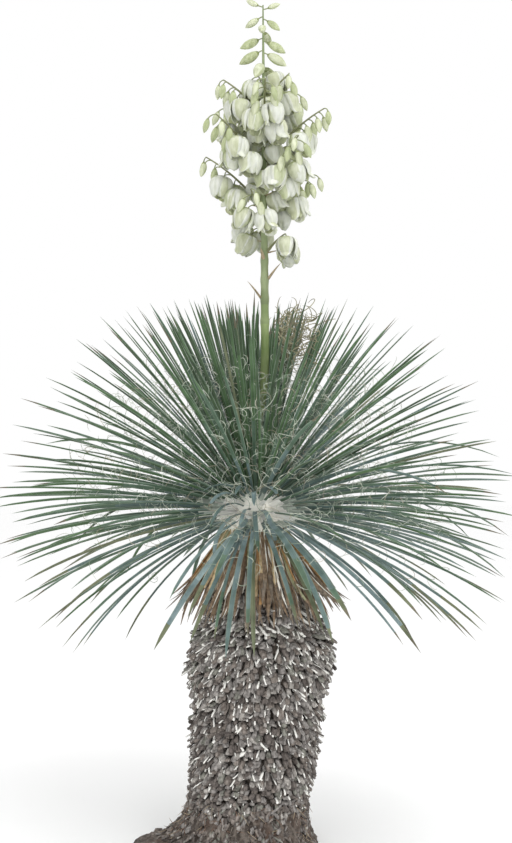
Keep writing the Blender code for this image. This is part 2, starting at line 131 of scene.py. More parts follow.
# %% A finish and its nodes
class Finish:
    """A material, and the nodes that give it its colour, sheen and relief."""

    def __init__(self, name, roughness):
        self.material = bpy.data.materials.new(name)
        self.material.use_nodes = True
        self.tree = self.material.node_tree
        self.shader = self.tree.nodes["Principled BSDF"]
        self.shader.inputs["Roughness"].default_value = roughness

    def node(self, kind, settings, values, out=0):
        made = self.tree.nodes.new(kind)
        for name, value in settings.items():
            setattr(made, name, value)
        for name, value in values.items():
            self.feed(made.inputs[name], value)
        return Wire(self, made.outputs[out])

    def feed(self, socket, value):
        if isinstance(value, Wire):
            self.tree.links.new(value.socket, socket)
        else:
            socket.default_value = value

    def blend(self, mask, first, second):
        """Colours mixed by a mask. A Mix node takes them at 6 and 7 and gives the colour out at 2."""
        return self.node("ShaderNodeMix", {"data_type": "RGBA"}, {0: mask, 6: first, 7: second}, out=2)

    def coat(self, mask, dark, light):
        """Deals out two colours, each given from 0 to 255."""
        self.feed(self.shader.inputs["Base Color"], self.blend(mask, paint(*dark), paint(*light)))

    def place(self, stretch=(1, 1, 1)):
        """The place on the object, in metres, squeezed or drawn out along each axis."""
        here = self.node("ShaderNodeTexCoord", {}, {}, out="Object")
        return self.node("ShaderNodeMapping", {}, {"Vector": here, "Scale": stretch})

    def mottle(self, scale, detail=3.0, stretch=(1, 1, 1)):
        where = self.place(stretch)
        return self.node("ShaderNodeTexNoise", {}, {"Vector": where, "Scale": scale, "Detail": detail})

    def contrast(self, value, low, high):
        """The value stretched so that low becomes 0 and high becomes 1."""
        return self.node("ShaderNodeMapRange", {}, {0: value, 1: low, 2: high})

    def relief(self, height, strength, distance):
        sockets = {"Height": height, "Strength": strength, "Distance": distance}
        self.feed(self.shader.inputs["Normal"], self.node("ShaderNodeBump", {}, sockets))


def paint(red, green, blue):
    """A colour given from 0 to 255, as the light it gives back."""
    steps = [value / 255 for value in (red, green, blue)]
    return (*[s / 12.92 if s <= 0.04045 else ((s + 0.055) / 1.055) ** 2.4 for s in steps], 1)


print("a mid grey of 128 gives back", round(paint(128, 128, 128)[0], 3), "of the light")

# %% [markdown]
# The floor isn't part of the plant: it only sends light up under the crown, as pale ground does, and
# catches a soft shadow. So it is one large square, left off the plant's body that carries the pieces.

# %% The floor
FLOOR_HALF = 14.0
floor_finish = Finish("pale_floor", 0.9)
floor_finish.coat(floor_finish.mottle(2.0), (251, 251, 251), (254, 254, 254))
floor_corners = [(FLOOR_HALF * x, FLOOR_HALF * y, 0) for x, y in ((-1, -1), (1, -1), (1, 1), (-1, 1))]
floor_mesh = bpy.data.meshes.new("floor")
floor_mesh.from_pydata(floor_corners, [], [(0, 1, 2, 3)])
floor_mesh.materials.append(floor_finish.material)
floor = bpy.data.objects.new("floor", floor_mesh)
bpy.context.scene.collection.objects.link(floor)
print("floor", 2 * FLOOR_HALF, "m wide")

# %% [markdown]
# Everything that grows on this plant is long and tapering: a leaf, a stub, a fibre, a petal. So one
# way of making shapes serves all. It starts with a path for each shape, a chain of points that bends
# as growth and weight bend the real thing. Arrays hold thousands of paths at once, which is far
# quicker than a loop over single leaves.


# %% Directions and paths
def facing(azimuth, elevation=0.0):
    """Unit directions for angles in radians."""
    azimuth, elevation = np.broadcast_arrays(azimuth, elevation)
    level = np.cos(elevation)
    return np.stack([np.cos(azimuth) * level, np.sin(azimuth) * level, np.sin(elevation)], -1)


def unit(vectors):
    return vectors / np.linalg.norm(vectors, axis=-1, keepdims=True)


def walked(start, step):
    """The points reached from each start, one step after another."""
    return start[:, None] + np.concatenate([np.zeros((len(start), 1, 3)), np.cumsum(step, 1)], 1)


def bending_path(root, azimuth, elevation, bend, length, steps, power):
    """Points of blades that leave their roots at an elevation and bend down by the time they end."""
    middle = (np.arange(steps) + 0.5) / steps
    angle = elevation[:, None] - bend[:, None] * middle**power
    return walked(root, facing(azimuth[:, None], angle) * (length / steps)[:, None, None])


print("straight up is", facing(0.0, math.pi / 2).round(3))

# %% [markdown]
# Rings of points stand round each path: flat ones make a blade, round ones a stem. A ring is squared
# up to its path and to the way the shape faces, so a blade doesn't twist by itself.


# %% Rings along a path
def sweep(path, side, section):
    """Rings along paths. path is (shape, level, 3), side is each shape's sideways direction, and section
    gives the points of each ring as metres sideways and upwards."""
    along = unit(np.gradient(path, axis=1))
    side = side[:, None, :]
    across = unit(side - along * (side * along).sum(-1, keepdims=True))
    up = np.cross(along, across)
    return path[:, :, None] + across[:, :, None] * section[..., :1] + up[:, :, None] * section[..., 1:]


def circle(sides):
    """Points round a circle of radius 1."""
    turns = np.arange(sides) * math.tau / sides
    return np.stack([np.cos(turns), np.sin(turns)], -1)


def round_section(radii, sides):
    """Round rings of these radii, (shape, level)."""
    return radii[..., None, None] * circle(sides)


print("a ring of six starts at", circle(6)[0])

# %% [markdown]
# A heap gathers the closed shapes of one kind, with a finish for each band of faces, and becomes one
# joined piece. Thousands of separate objects joined afterwards would look the same and take longer.


# %% Heaps that become pieces
class Heap:
    """Closed shapes of one kind, to be joined into one piece."""

    def __init__(self):
        self.points, self.corners, self.sizes, self.finishes = [], [], [], []
        self.total = 0

    def add(self, rings, finish):
        """rings is (shape, level, side, 3). finish is one number, or one for each shape, band or face."""
        count, levels, sides, _ = rings.shape
        grid = np.arange(levels * sides).reshape(levels, sides)
        low, high = grid[:-1], grid[1:]
        quads = np.stack([low, np.roll(low, -1, 1), np.roll(high, -1, 1), high], -1).reshape(-1, 4)
        starts = np.arange(count) * levels * sides + self.total
        finish = np.asarray(finish)
        finish = finish.reshape(finish.shape + (1,) * (3 - finish.ndim))
        faces = np.broadcast_to(finish, (count, levels - 1, sides))
        caps = np.stack([grid[0][::-1], grid[-1]])
        self.points.append(rings.reshape(-1, 3))
        self.corners.append((starts[:, None, None] + quads).ravel())
        self.sizes.append(np.full(count * len(quads), 4))
        self.finishes.append(faces.ravel())
        self.corners.append((starts[:, None, None] + caps).ravel())
        self.sizes.append(np.full(count * 2, sides))
        self.finishes.append(faces[:, [0, -1], 0].ravel())
        self.total += count * levels * sides

    def piece(self, name, finishes, replaced=(), smooth=True):
        mesh = bpy.data.meshes.new(name)
        points = np.concatenate(self.points)
        corners, sizes = np.concatenate(self.corners), np.concatenate(self.sizes)
        mesh.vertices.add(len(points))
        mesh.vertices.foreach_set("co", points.astype(np.float32).ravel())
        mesh.loops.add(len(corners))
        mesh.loops.foreach_set("vertex_index", corners.astype(np.int32))
        mesh.polygons.add(len(sizes))
        mesh.polygons.foreach_set("loop_start", (np.cumsum(sizes) - sizes).astype(np.int32))
        mesh.polygons.foreach_set("material_index", np.concatenate(self.finishes).astype(np.int32))
        mesh.polygons.foreach_set("use_smooth", np.full(len(sizes), smooth))
        mesh.update(calc_edges=True)
        for finish in finishes:
            mesh.materials.append(finish.material)
        settle(name, mesh, replaced)


def settle(name, mesh, replaced):
    """Puts a finished mesh on the plant: it rides on the one body and may stand for some solids."""
    made = bpy.data.objects.new(name, mesh)
    bpy.context.scene.collection.objects.link(made)
    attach(made, "root")
    if replaced:
        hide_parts(*replaced)
    mesh.calc_loop_triangles()
    print(name, len(mesh.loop_triangles), "triangles")


def nodes_named(start):
    return [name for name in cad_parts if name.startswith(start)]


print("masses of leaves to replace:", len(nodes_named("leaves_")))

# %% [markdown]
# The trunk leans a little and swells where the stubs stand out. Its middle line, its radius, the root
# flare and the crown's dome are the solid's own, written again here, because all that follows has to
# sit on them.

# %% Trunk sizes, as in the solid
TRUNK_STATIONS = np.array([
    (0.000, -0.018, 0.112),
    (0.100, -0.014, 0.118),
    (0.190, -0.002, 0.127),
    (0.290, 0.002, 0.130),
    (0.350, 0.008, 0.146),
    (0.410, 0.012, 0.139),
    (0.455, 0.011, 0.110),
    (0.530, 0.006, 0.080),
    (0.580, 0.002, 0.067),
])
FLARE_TOES = ((180, 0.087, 2), (285, 0.030, 4), (70, 0.030, 4))
FLARE_ALL_ROUND = 0.030
FLARE_HEIGHT = 0.028
CROWN_Z, CROWN_RADIUS = 0.668, 0.050
DOME_TOP_ANGLE, DOME_ANGLE_PER_AGE = math.radians(72), math.radians(105)
NECK_WIDENS = 0.022
DOME_AGE = DOME_TOP_ANGLE / DOME_ANGLE_PER_AGE
SKIRT_AGES = (1.03, 1.34)


def trunk_middle(height):
    return np.interp(height, TRUNK_STATIONS[:, 0], TRUNK_STATIONS[:, 1])


def trunk_radius(height):
    return np.interp(height, TRUNK_STATIONS[:, 0], TRUNK_STATIONS[:, 2])


def flare(azimuth, height):
    """How far the root flare stands out of the trunk."""
    reach = FLARE_ALL_ROUND
    for direction, toe, narrow in FLARE_TOES:
        reach = reach + toe * np.maximum(0.0, np.cos(azimuth - math.radians(direction))) ** narrow
    return reach * np.exp(-height / FLARE_HEIGHT)


def crown_surface(age):
    """Radius and height of the crown at the seat of a leaf of this age."""
    angle = DOME_TOP_ANGLE - DOME_ANGLE_PER_AGE * age
    below = np.maximum(age - DOME_AGE, 0)
    dome_radius = CROWN_RADIUS * np.cos(np.maximum(angle, 0))
    dome_height = CROWN_Z + CROWN_RADIUS * np.sin(angle)
    neck_radius = CROWN_RADIUS + NECK_WIDENS * below
    neck_height = CROWN_Z - CROWN_RADIUS * DOME_ANGLE_PER_AGE * below
    return np.where(angle > 0, dome_radius, neck_radius), np.where(angle > 0, dome_height, neck_height)


print("the crown's top is at", round(float(crown_surface(0.0)[1]), 4), "m")

# %% [markdown]
# Low down the stubs have worn away and bark shows, drawn out to a flare with one long toe to the left.
# Above, the wood hides behind the stubs, so it is drawn in and only has to be dark and rough. Relief in
# the finish alone would leave a smooth edge, so noise moves the points of the mesh itself.

# %% The bark and the crown's core
CORE_DEPTH = 0.0155
STUBS_FROM = 0.082
CLOSE_LEVELS_TO, BARK_TOP, CROWN_FROM = 0.13, 0.58, 0.575
AROUND, LOW_LEVELS, HIGH_LEVELS, DOME_LEVELS = 260, 100, 90, 20
BARK_WARP, BARK_RIDGES, BARK_CRUMBS, BARK_LUMPS, BARK_PITS = 0.012, 0.0075, 0.0040, 0.0060, 0.0018


def ridges(points, scale, stretch):
    """Noise folded to sharp ridges, from 0 to 1, drawn out up the trunk."""
    squeezed = points * np.array([scale, scale, scale / stretch])
    return np.array([1 - abs(noise.noise(Vector(p))) * 2 for p in squeezed])


def lumps(points, scale):
    """Soft noise, about as much below 0 as above."""
    return np.array([noise.noise(Vector(p * scale)) for p in points])


def bark_rings():
    """Rings from the ground to the crown's top, drawn in where stubs will cover them."""
    turns = np.arange(AROUND) * math.tau / AROUND
    low = np.linspace(0, CLOSE_LEVELS_TO, LOW_LEVELS)
    heights = np.concatenate([low, np.linspace(CLOSE_LEVELS_TO, BARK_TOP, HIGH_LEVELS + 1)[1:]])
    rings = []
    for height in heights:
        hidden = CORE_DEPTH * np.clip((height - STUBS_FROM + 0.02) / 0.04, 0, 1)
        hidden = hidden * np.clip((0.60 - height) / 0.10, 0.25, 1)
        ring = facing(turns) * (trunk_radius(height) + flare(turns, height) - hidden)[:, None]
        ring[:, 0] += trunk_middle(height)
        ring[:, 2] = height
        rings.append(ring)
    for age in np.linspace(SKIRT_AGES[1], 0, DOME_LEVELS):
        radius, height = crown_surface(age)
        ring = facing(turns) * radius
        ring[:, 2] = height
        rings.append(ring)
    return np.array(rings), np.tile(turns, len(rings))


bark, bark_turns = bark_rings()
flat = bark.reshape(-1, 3).copy()
warped = flat + BARK_WARP * np.stack([lumps(flat + shift, 30) for shift in (1.0, 2.0, 3.0)], -1)
bark_relief = BARK_RIDGES * (ridges(warped, 34, 2.6) - 0.62)
bark_relief = bark_relief + BARK_CRUMBS * (ridges(warped + 7, 85, 1.8) - 0.6)
bark_relief += BARK_LUMPS * lumps(flat, 18) + BARK_PITS * lumps(flat, 230)
# The relief dies away at the crown and is weak where the trunk meets the ground
bark_relief *= np.clip((CROWN_FROM - flat[:, 2]) / 0.02, 0, 1) * np.where(flat[:, 2] == 0, 0.4, 1)
flat += facing(bark_turns) * bark_relief[:, None]
print("bark relief from", round(bark_relief.min() * 1000, 1), "to", round(bark_relief.max() * 1000, 1), "mm")

# %% [markdown]
# That mesh takes three finishes by height: cracked grey-brown bark below, shaded wood behind the stubs,
# and above them the crown's pale flesh, which shows as white patches where the leaves spring from it.

# %% Bark, wood and flesh
bark_height = bark[:-1, 0, 2]
bark_bands = np.where(bark_height > CROWN_FROM, 2, np.where(bark_height > STUBS_FROM + 0.02, 1, 0))
bark_heap = Heap()
bark_heap.add(flat.reshape(1, len(bark), AROUND, 3), bark_bands[None])
bark_finish = Finish("weathered_bark", 0.92)
bark_cracks = bark_finish.contrast(bark_finish.mottle(110, 6, (1, 1, 0.5)), 0.40, 0.62)
bark_red = bark_finish.contrast(bark_finish.mottle(22, 3), 0.50, 0.68)
bark_colour = bark_finish.blend(bark_cracks, paint(62, 54, 48), paint(116, 107, 99))
bark_colour = bark_finish.blend(bark_red * 0.45, bark_colour, paint(104, 82, 70))
bark_finish.feed(bark_finish.shader.inputs["Base Color"], bark_colour)
bark_finish.relief(bark_cracks + bark_finish.mottle(380, 3), 0.9, 0.003)
dark_wood = Finish("shaded_wood", 0.95)
dark_wood.coat(dark_wood.mottle(60, 4), (44, 38, 33), (76, 68, 60))
crown_flesh = Finish("crown_flesh", 0.7)
crown_flesh.coat(crown_flesh.mottle(80, 3), (236, 233, 222), (251, 249, 242))
bark_heap.piece("trunk_bark", [bark_finish, dark_wood, crown_flesh], ["trunk"])

# %% [markdown]
# A yucca never drops its leaves cleanly. Each leaves a stub, a flat tongue that points down and out,
# and nearly all that is seen of the trunk is stubs. Scales drawn on a smooth trunk would look flat at
# its edge, so each is a real shape: a ragged tongue with a broken end, bent a little inwards.

# %% A blunt tongue
STUB_SIDES = 6
# Along a stub, from its root to its blunt round end
STUB_SHARE = np.array([0.0, 0.45, 0.78, 0.92, 1.0])
STUB_TAPER = np.array([0.95, 1.0, 0.96, 0.78, 0.46])
STUB_BODY = np.array([0.8, 1.0, 1.1, 1.0, 0.62])
STUB_CURVE, STUB_HOLLOW, STUB_RAGGED, STUB_ROUGH = 0.10, 0.16, 0.07, 0.00050
NEARBY = 0.004


def trunk_point(turn, height, inward):
    """Points on the solid trunk's side, or as far inside it as asked."""
    point = facing(turn) * (trunk_radius(height) + flare(turn, np.maximum(height, 0)) - inward)[:, None]
    point[:, 0] += trunk_middle(height)
    point[:, 2] = height
    return point


def trunk_directions(turn, height):
    """Down along the trunk's side, sideways and straight out of it."""
    down = unit(trunk_point(turn, height - NEARBY, 0) - trunk_point(turn, height + NEARBY, 0))
    side = facing(turn + math.pi / 2)
    return down, side, np.cross(down, side)


def tongues(
    luck, turn, height, inward, length, width, thickness, lift,
    shift=0.0, roll_spread=0.34, sway_spread=0.20,
):
    """Blunt tongues that leave the trunk's side and point down and out."""
    count = len(turn)
    down, side, out = trunk_directions(turn, height)
    roll = luck.normal(0, roll_spread, count)[:, None]
    sway = luck.normal(0, sway_spread, count)[:, None]
    heading = down * np.cos(lift)[:, None] + out * np.sin(lift)[:, None] + side * sway
    root = trunk_point(turn, height, inward) + side * np.broadcast_to(shift, count)[:, None]
    share = STUB_SHARE[None, :, None]
    curve = out[:, None] * STUB_CURVE * share**2
    path = root[:, None] + length[:, None, None] * (heading[:, None] * share - curve)
    ring = circle(STUB_SIDES)
    ragged = 1 + luck.normal(0, STUB_RAGGED, (count, len(STUB_SHARE)))
    wide = (width[:, None] * STUB_TAPER * ragged)[..., None] / 2 * ring[:, 0]
    high = (thickness[:, None] * STUB_BODY)[..., None] / 2 * ring[:, 1]
    high = high - STUB_HOLLOW * width[:, None, None] * (ring[:, 0] ** 2 - 0.5)
    rough = luck.normal(0, STUB_ROUGH, (count, len(STUB_SHARE), STUB_SIDES, 2))
    section = np.stack([wide, high], -1) + rough
    return sweep(path, unit(side * np.cos(roll) + out * np.sin(roll)), section)


print("a stub has", len(STUB_SHARE), "rings of", STUB_SIDES)

# %% [markdown]
# The stubs sit in the same spiral as the leaves did, a golden angle from one to the next, and no two
# are broken alike. Towards the crown they are younger, so they are longer and lie closer to the trunk.

# %% Where the stubs sit
GOLDEN_ANGLE = math.radians(137.508)
STUBS = 3400
STUBS_TO = 0.540
STUB_DEPTH = 0.0135
STUB_LENGTH, STUB_WIDTH, STUB_THICKNESS = 0.0215, 0.0132, 0.0044
STUB_LIFT = math.radians(46)
YOUNG_LONGER, YOUNG_FLATTER = 0.6, 0.42
stub_luck = np.random.default_rng(61)
stub_at = (np.arange(STUBS) + 0.5) / STUBS
stub_turn = np.arange(STUBS) * GOLDEN_ANGLE + stub_luck.normal(0, 0.025, STUBS)
stub_height = STUBS_FROM + (STUBS_TO - STUBS_FROM) * stub_at + stub_luck.normal(0, 0.0022, STUBS)
stub_worn = np.clip(stub_at / 0.15, 0.55, 1)
stub_length = STUB_LENGTH * (1 + YOUNG_LONGER * np.clip((stub_at - 0.65) / 0.35, 0, 1))
stub_length = stub_length * (1 + stub_luck.normal(0, 0.22, STUBS))
stub_width = STUB_WIDTH * (1 + stub_luck.normal(0, 0.17, STUBS))
stub_thickness = STUB_THICKNESS * (1 + stub_luck.normal(0, 0.15, STUBS))
stub_lift = STUB_LIFT + stub_luck.normal(0, 0.20, STUBS)
stub_lift = stub_lift - YOUNG_FLATTER * np.clip((stub_at - 0.60) / 0.40, 0, 1)
stub_depth, stub_long = STUB_DEPTH * stub_worn, stub_length * stub_worn
stub_rings = tongues(
    stub_luck, stub_turn, stub_height, stub_depth, stub_long, stub_width, stub_thickness, stub_lift
)
print("stubs are", round(stub_long.min() * 1000, 1), "to", round(stub_long.max() * 1000, 1), "mm long")

# %% [markdown]
# Dead leaf weathers from tan to grey and splits along its fibres. One function makes every dry finish
# of this plant: streaks drawn out up the trunk give both its colour and its relief.


# %% Weathered finishes
def dry_finish(name, dark, light, roughness=0.9):
    """Weathered dead leaf: streaked along the trunk, and rough to the touch."""
    made = Finish(name, roughness)
    streaks = made.contrast(made.mottle(190, 4, (1, 1, 0.45)), 0.34, 0.66)
    made.coat(streaks, dark, light)
    made.relief(streaks + made.mottle(520, 2) * 0.5, 0.6, 0.0014)
    return made


STUB_FINISHES = [
    dry_finish("stub_grey", (94, 90, 87), (162, 157, 153)),
    dry_finish("stub_brown", (86, 78, 72), (148, 139, 132)),
    dry_finish("stub_dark", (66, 60, 56), (120, 112, 107)),
    dry_finish("stub_mossy", (90, 89, 82), (152, 151, 142)),
    dry_finish("stub_pale", (114, 109, 104), (184, 179, 173)),
]
print(len(STUB_FINISHES), "finishes for stubs")

# %% [markdown]
# Each stub takes one finish by chance, darker ones more often low down. They are joined in three bands
# to keep each piece small.

# %% Leaf stubs
DARK_STUB = 2
stub_kind = stub_luck.choice(5, STUBS, p=[0.36, 0.22, 0.14, 0.10, 0.18])
stub_kind[(stub_at < 0.45) & (stub_luck.uniform(0, 1, STUBS) < 0.22)] = DARK_STUB
for part, (start, end) in {"low": (0, 0.35), "middle": (0.35, 0.7), "high": (0.7, 1)}.items():
    chosen = (stub_at > start) & (stub_at <= end)
    stub_heap = Heap()
    stub_heap.add(stub_rings[chosen], stub_kind[chosen])
    stub_heap.piece(f"leaf_stubs_{part}", STUB_FINISHES)

# %% [markdown]
# Round the root flare the stubs have weathered to thin scales that lie nearly flat. They could be left
# to the bark's relief, but scales catch the light at their edges, so they are tongues again, smaller,
# flatter and rolled more. A ring that would dip below the ground is lifted to lie on it.


# %% Worn stubs on the root flare
def on_ground(rings):
    """The same shapes, with each ring that would dip below the ground lifted to lie on it."""
    lifted = rings.copy()
    lifted[..., 2] -= np.minimum(rings[..., 2].min(-1, keepdims=True), 0)
    return lifted


WORN = 900
worn_luck = np.random.default_rng(63)
worn_turn = np.arange(WORN) * GOLDEN_ANGLE + worn_luck.normal(0, 0.05, WORN)
worn_height = 0.012 + 0.092 * (np.arange(WORN) + 0.5) / WORN + worn_luck.normal(0, 0.003, WORN)
worn_heap = Heap()
worn_rings = tongues(
    worn_luck,
    worn_turn,
    np.maximum(worn_height, 0.011),
    np.full(WORN, 0.003),
    worn_luck.uniform(0.008, 0.018, WORN),
    worn_luck.uniform(0.006, 0.014, WORN),
    worn_luck.uniform(0.0016, 0.0034, WORN),
    worn_luck.uniform(0.05, 0.50, WORN),
    roll_spread=0.6,
    sway_spread=0.5,
)
worn_heap.add(on_ground(worn_rings), worn_luck.choice(5, WORN, p=[0.20, 0.36, 0.30, 0.10, 0.04]))
worn_heap.piece("worn_stubs", STUB_FINISHES)

# %% [markdown]
# The pale skin of the old leaf bases shows between the stubs as bright slits, more of them near the
# crown. Pale edges painted on the stubs would be too regular, so a thin sliver is tucked in beside
# about half of the stubs, a little to one side.

# %% Pale skin in the gaps
LININGS = 1750
lining_luck = np.random.default_rng(62)
lining_odds = 0.35 + stub_at**1.5
lining_pick = lining_luck.choice(STUBS, LININGS, replace=False, p=lining_odds / lining_odds.sum())
lining_side = lining_luck.choice([-1.0, 1.0], LININGS) * lining_luck.uniform(0.0048, 0.0078, LININGS)
lining_heap = Heap()
lining_heap.add(
    tongues(
        lining_luck,
        stub_turn[lining_pick],
        stub_height[lining_pick] - 0.001,
        stub_depth[lining_pick] - 0.0016,
        stub_long[lining_pick] * lining_luck.uniform(0.70, 1.08, LININGS),
        lining_luck.uniform(0.0020, 0.0058, LININGS) * (1 + 1.5 * stub_at[lining_pick] ** 4),
        np.full(LININGS, 0.0020),
        stub_lift[lining_pick],
        shift=lining_side,
        roll_spread=0.6,
        sway_spread=0.42,
    ),
    0,
)
pale_skin = Finish("pale_leaf_skin", 0.75)
pale_skin.coat(pale_skin.mottle(120, 3), (236, 234, 226), (253, 252, 248))
lining_heap.piece("pale_skin_in_gaps", [pale_skin])

# %% [markdown]
# The leaves follow the source's rule: the youngest stands upright in the heart, each older one sits a
# golden angle further round and a little lower, and the oldest droop. A leaf is a stiff narrow channel.
# A flat strip would be lighter but vanish when seen edge on, so eight points to a ring give the
# channel, its keel and its two margins.

# %% Leaf sizes
LEAVES = 625
LEAF_LENGTH, HEART_SHORTER, OLDEST_SHORTER = 0.466, 0.27, 0.28
HEART_ELEVATION, ELEVATION_PER_AGE = 86.0, -119.0
BLADE_BLUNT = 12.0
# Across the blade and up from it, as shares of half its width, counter-clockwise from the right edge
CHANNEL = np.array(
    [(1, 0.28), (0.88, 0.20), (0, -0.14), (-0.88, 0.20), (-1, 0.28), (-0.88, 0.12), (0, -0.44), (0.88, 0.12)]
)
# Which strips between those points are the pale margin, and which are the underside
MARGIN = np.array([True, False, False, True, True, False, False, True])
UNDERSIDE = np.array([False, False, False, False, False, True, True, False])


def root_elevation(age):
    return np.radians(HEART_ELEVATION + ELEVATION_PER_AGE * age)


def leaf_length(age):
    young = np.maximum(0.0, 1 - age / 0.65)
    old = np.maximum(0.0, (age - 0.8) / 0.2)
    return LEAF_LENGTH * (1 - HEART_SHORTER * young**2 - OLDEST_SHORTER * old**1.5)


def blade_width(share):
    """Width of a blade, as a share of its widest, along its length."""
    return (0.7 + 0.3 * np.minimum(1.0, share / 0.3)) * np.maximum(0.0, 1 - share**BLADE_BLUNT) ** 0.8


def seats(age, azimuth, inward):
    radius, height = crown_surface(age)
    seat = facing(azimuth) * (radius - inward)[:, None]
    seat[:, 2] = height
    return seat


def blades(path, side, half):
    """Channelled blades along paths, half as wide as asked to each side."""
    return sweep(path, side, half[..., None, None] * CHANNEL)


def rolled(azimuth, elevation, roll):
    """A blade's sideways direction, rolled a little about its length."""
    up = facing(azimuth, elevation + math.pi / 2)
    return facing(azimuth + math.pi / 2) * np.cos(roll)[:, None] + up * np.sin(roll)[:, None]


def swayed(path, azimuth, drift):
    """The same paths, pushed sideways by a drift for each level."""
    return path + facing(azimuth + math.pi / 2)[:, None] * drift[..., None]


print("lengths at ages 0, 0.7 and 1:", leaf_length(np.array([0, 0.7, 1])).round(3), "m")

# %% [markdown]
# A leaf's age and direction follow from its place on the spiral, its slope and bend from its age, and
# luck shifts all of them a little but the age. A few of middle age arch over. In front of the trunk
# the photo shows few leaves, and some of those curl down short, so leaves there are marked: some to
# curl here, and most to be left out further on.

# %% Where each leaf grows
LEAF_WIDTH, UPPER_WIDTH, HEART_WIDTH, OLD_WIDTH = 0.0102, 0.0067, 0.0056, 0.0088
HEART_BEND, BEND_PER_AGE = 3.0, 23.0
LEAF_SWAY, LEAF_LENGTH_SPREAD = 4.0, 0.06
ARCHING_SHARE, ARCHING_BEND, ARCHING_AGES = 0.10, 44.0, (0.40, 0.72)
FRONT_HALF_ANGLE, FRONT_AGES = math.radians(36), (0.40, 0.76)
CURLED_SHARE, CURLED_LENGTH, CURLED_BEND = 0.22, 0.32, math.radians(58)
leaf_luck = np.random.default_rng(71)
leaf_age = np.interp((np.arange(LEAVES) + 0.5) / LEAVES, [0, 0.31, 0.51, 1], [0, 0.26, 0.50, 1])


def aged(ages):
    """Which leaves are between two ages."""
    return (leaf_age > ages[0]) & (leaf_age < ages[1])


leaf_azimuth = np.arange(LEAVES) * GOLDEN_ANGLE + np.radians(LEAF_SWAY) * leaf_luck.uniform(-1, 1, LEAVES)
leaf_elevation = root_elevation(leaf_age) + np.radians(LEAF_SWAY) * leaf_luck.uniform(-1, 1, LEAVES)
leaf_bend = np.radians(HEART_BEND + BEND_PER_AGE * leaf_age) * (1 + 0.35 * leaf_luck.uniform(-1, 1, LEAVES))
leaf_arches = (leaf_luck.uniform(0, 1, LEAVES) < ARCHING_SHARE) & aged(ARCHING_AGES)
leaf_bend = leaf_bend + math.radians(ARCHING_BEND) * leaf_arches * leaf_luck.uniform(0.5, 1.3, LEAVES)
leaf_to_front = (-np.sin(leaf_azimuth) > math.cos(FRONT_HALF_ANGLE)) & aged(FRONT_AGES)
leaf_curled = leaf_to_front & (leaf_luck.uniform(0, 1, LEAVES) < CURLED_SHARE)
leaf_bend = leaf_bend + CURLED_BEND * leaf_curled
leaf_long = leaf_length(leaf_age) * (1 + LEAF_LENGTH_SPREAD * leaf_luck.uniform(-1, 1, LEAVES))
leaf_long = leaf_long * np.where(leaf_curled, CURLED_LENGTH, 1)
leaf_widths = [HEART_WIDTH, UPPER_WIDTH, LEAF_WIDTH, LEAF_WIDTH, OLD_WIDTH]
leaf_wide = np.interp(leaf_age, [0, 0.30, 0.58, 0.8, 0.9], leaf_widths)
leaf_wide = leaf_wide * (1 + leaf_luck.normal(0, 0.07, LEAVES))
print("arching", leaf_arches.sum(), "in front", leaf_to_front.sum(), "curled", leaf_curled.sum())

# %% [markdown]
# Now the leaves take shape. The photo shows the lower stalk through a parting in the topmost leaves, so
# one that would stand before it is pushed to its nearer side. Middle-aged leaves widen at the base,
# where they clasp the crown.

# %% Shapes of the leaves
STALK_SEEN_X, STALK_SEEN_FROM, STALK_GAP = 0.0165, 0.940, 0.012
LEAF_STEPS, BEND_POWER, LEAF_DEPTH = 13, 1.4, 0.004
BASE_FLARE, BASE_FLARE_LENGTH = 1.6, 0.06


def before_stalk(points, depth):
    """Which points stand before the lower stalk, as the camera sees it."""
    beside = abs(points[..., 0] - STALK_SEEN_X) < STALK_GAP
    return beside & (points[..., 1] < depth) & (points[..., 2] > STALK_SEEN_FROM)


leaf_seat = seats(leaf_age, leaf_azimuth, LEAF_DEPTH)
leaf_path = bending_path(
    leaf_seat, leaf_azimuth, leaf_elevation, leaf_bend, leaf_long, LEAF_STEPS, BEND_POWER
)
leaf_share = np.linspace(0, 1, LEAF_STEPS + 1)
leaf_drift = leaf_luck.normal(0, 0.012, LEAVES)[:, None] * leaf_share**2
leaf_path = swayed(leaf_path, leaf_azimuth, leaf_drift)
leaf_before = before_stalk(leaf_path, 0.01)
leaf_nearer_left = ((leaf_path[..., 0] - STALK_SEEN_X) * leaf_before).sum(1) < 0
leaf_parting = leaf_before.any(1) * np.where(leaf_nearer_left, -STALK_GAP, STALK_GAP)
leaf_path[..., 0] += leaf_parting[:, None] * np.clip((leaf_path[..., 2] - 0.72) / 0.2, 0, 1)
leaf_side = rolled(leaf_azimuth, leaf_elevation, leaf_luck.normal(0, 0.30, LEAVES))
leaf_half = leaf_wide[:, None] / 2 * np.maximum(blade_width(leaf_share), 0.03)
leaf_clasp = BASE_FLARE * np.interp(leaf_age, [0.45, 0.60, 0.76, 0.82], [0, 1, 1, 0]) * ~leaf_curled
leaf_half = leaf_half * (1 + leaf_clasp[:, None] * np.exp(-leaf_share / BASE_FLARE_LENGTH))
leaf_rings = blades(leaf_path, leaf_side, leaf_half)
print("parted before the stalk:", leaf_before.any(1).sum())

# %% [markdown]
# A living leaf wears a waxy bloom that lies unevenly and turns its green to grey-blue. An image of
# a leaf would stretch over blades this narrow, so eleven plain finishes, from dark green to cream, are
# dealt out face by face, each with soft clouds of bloom and fine grain.


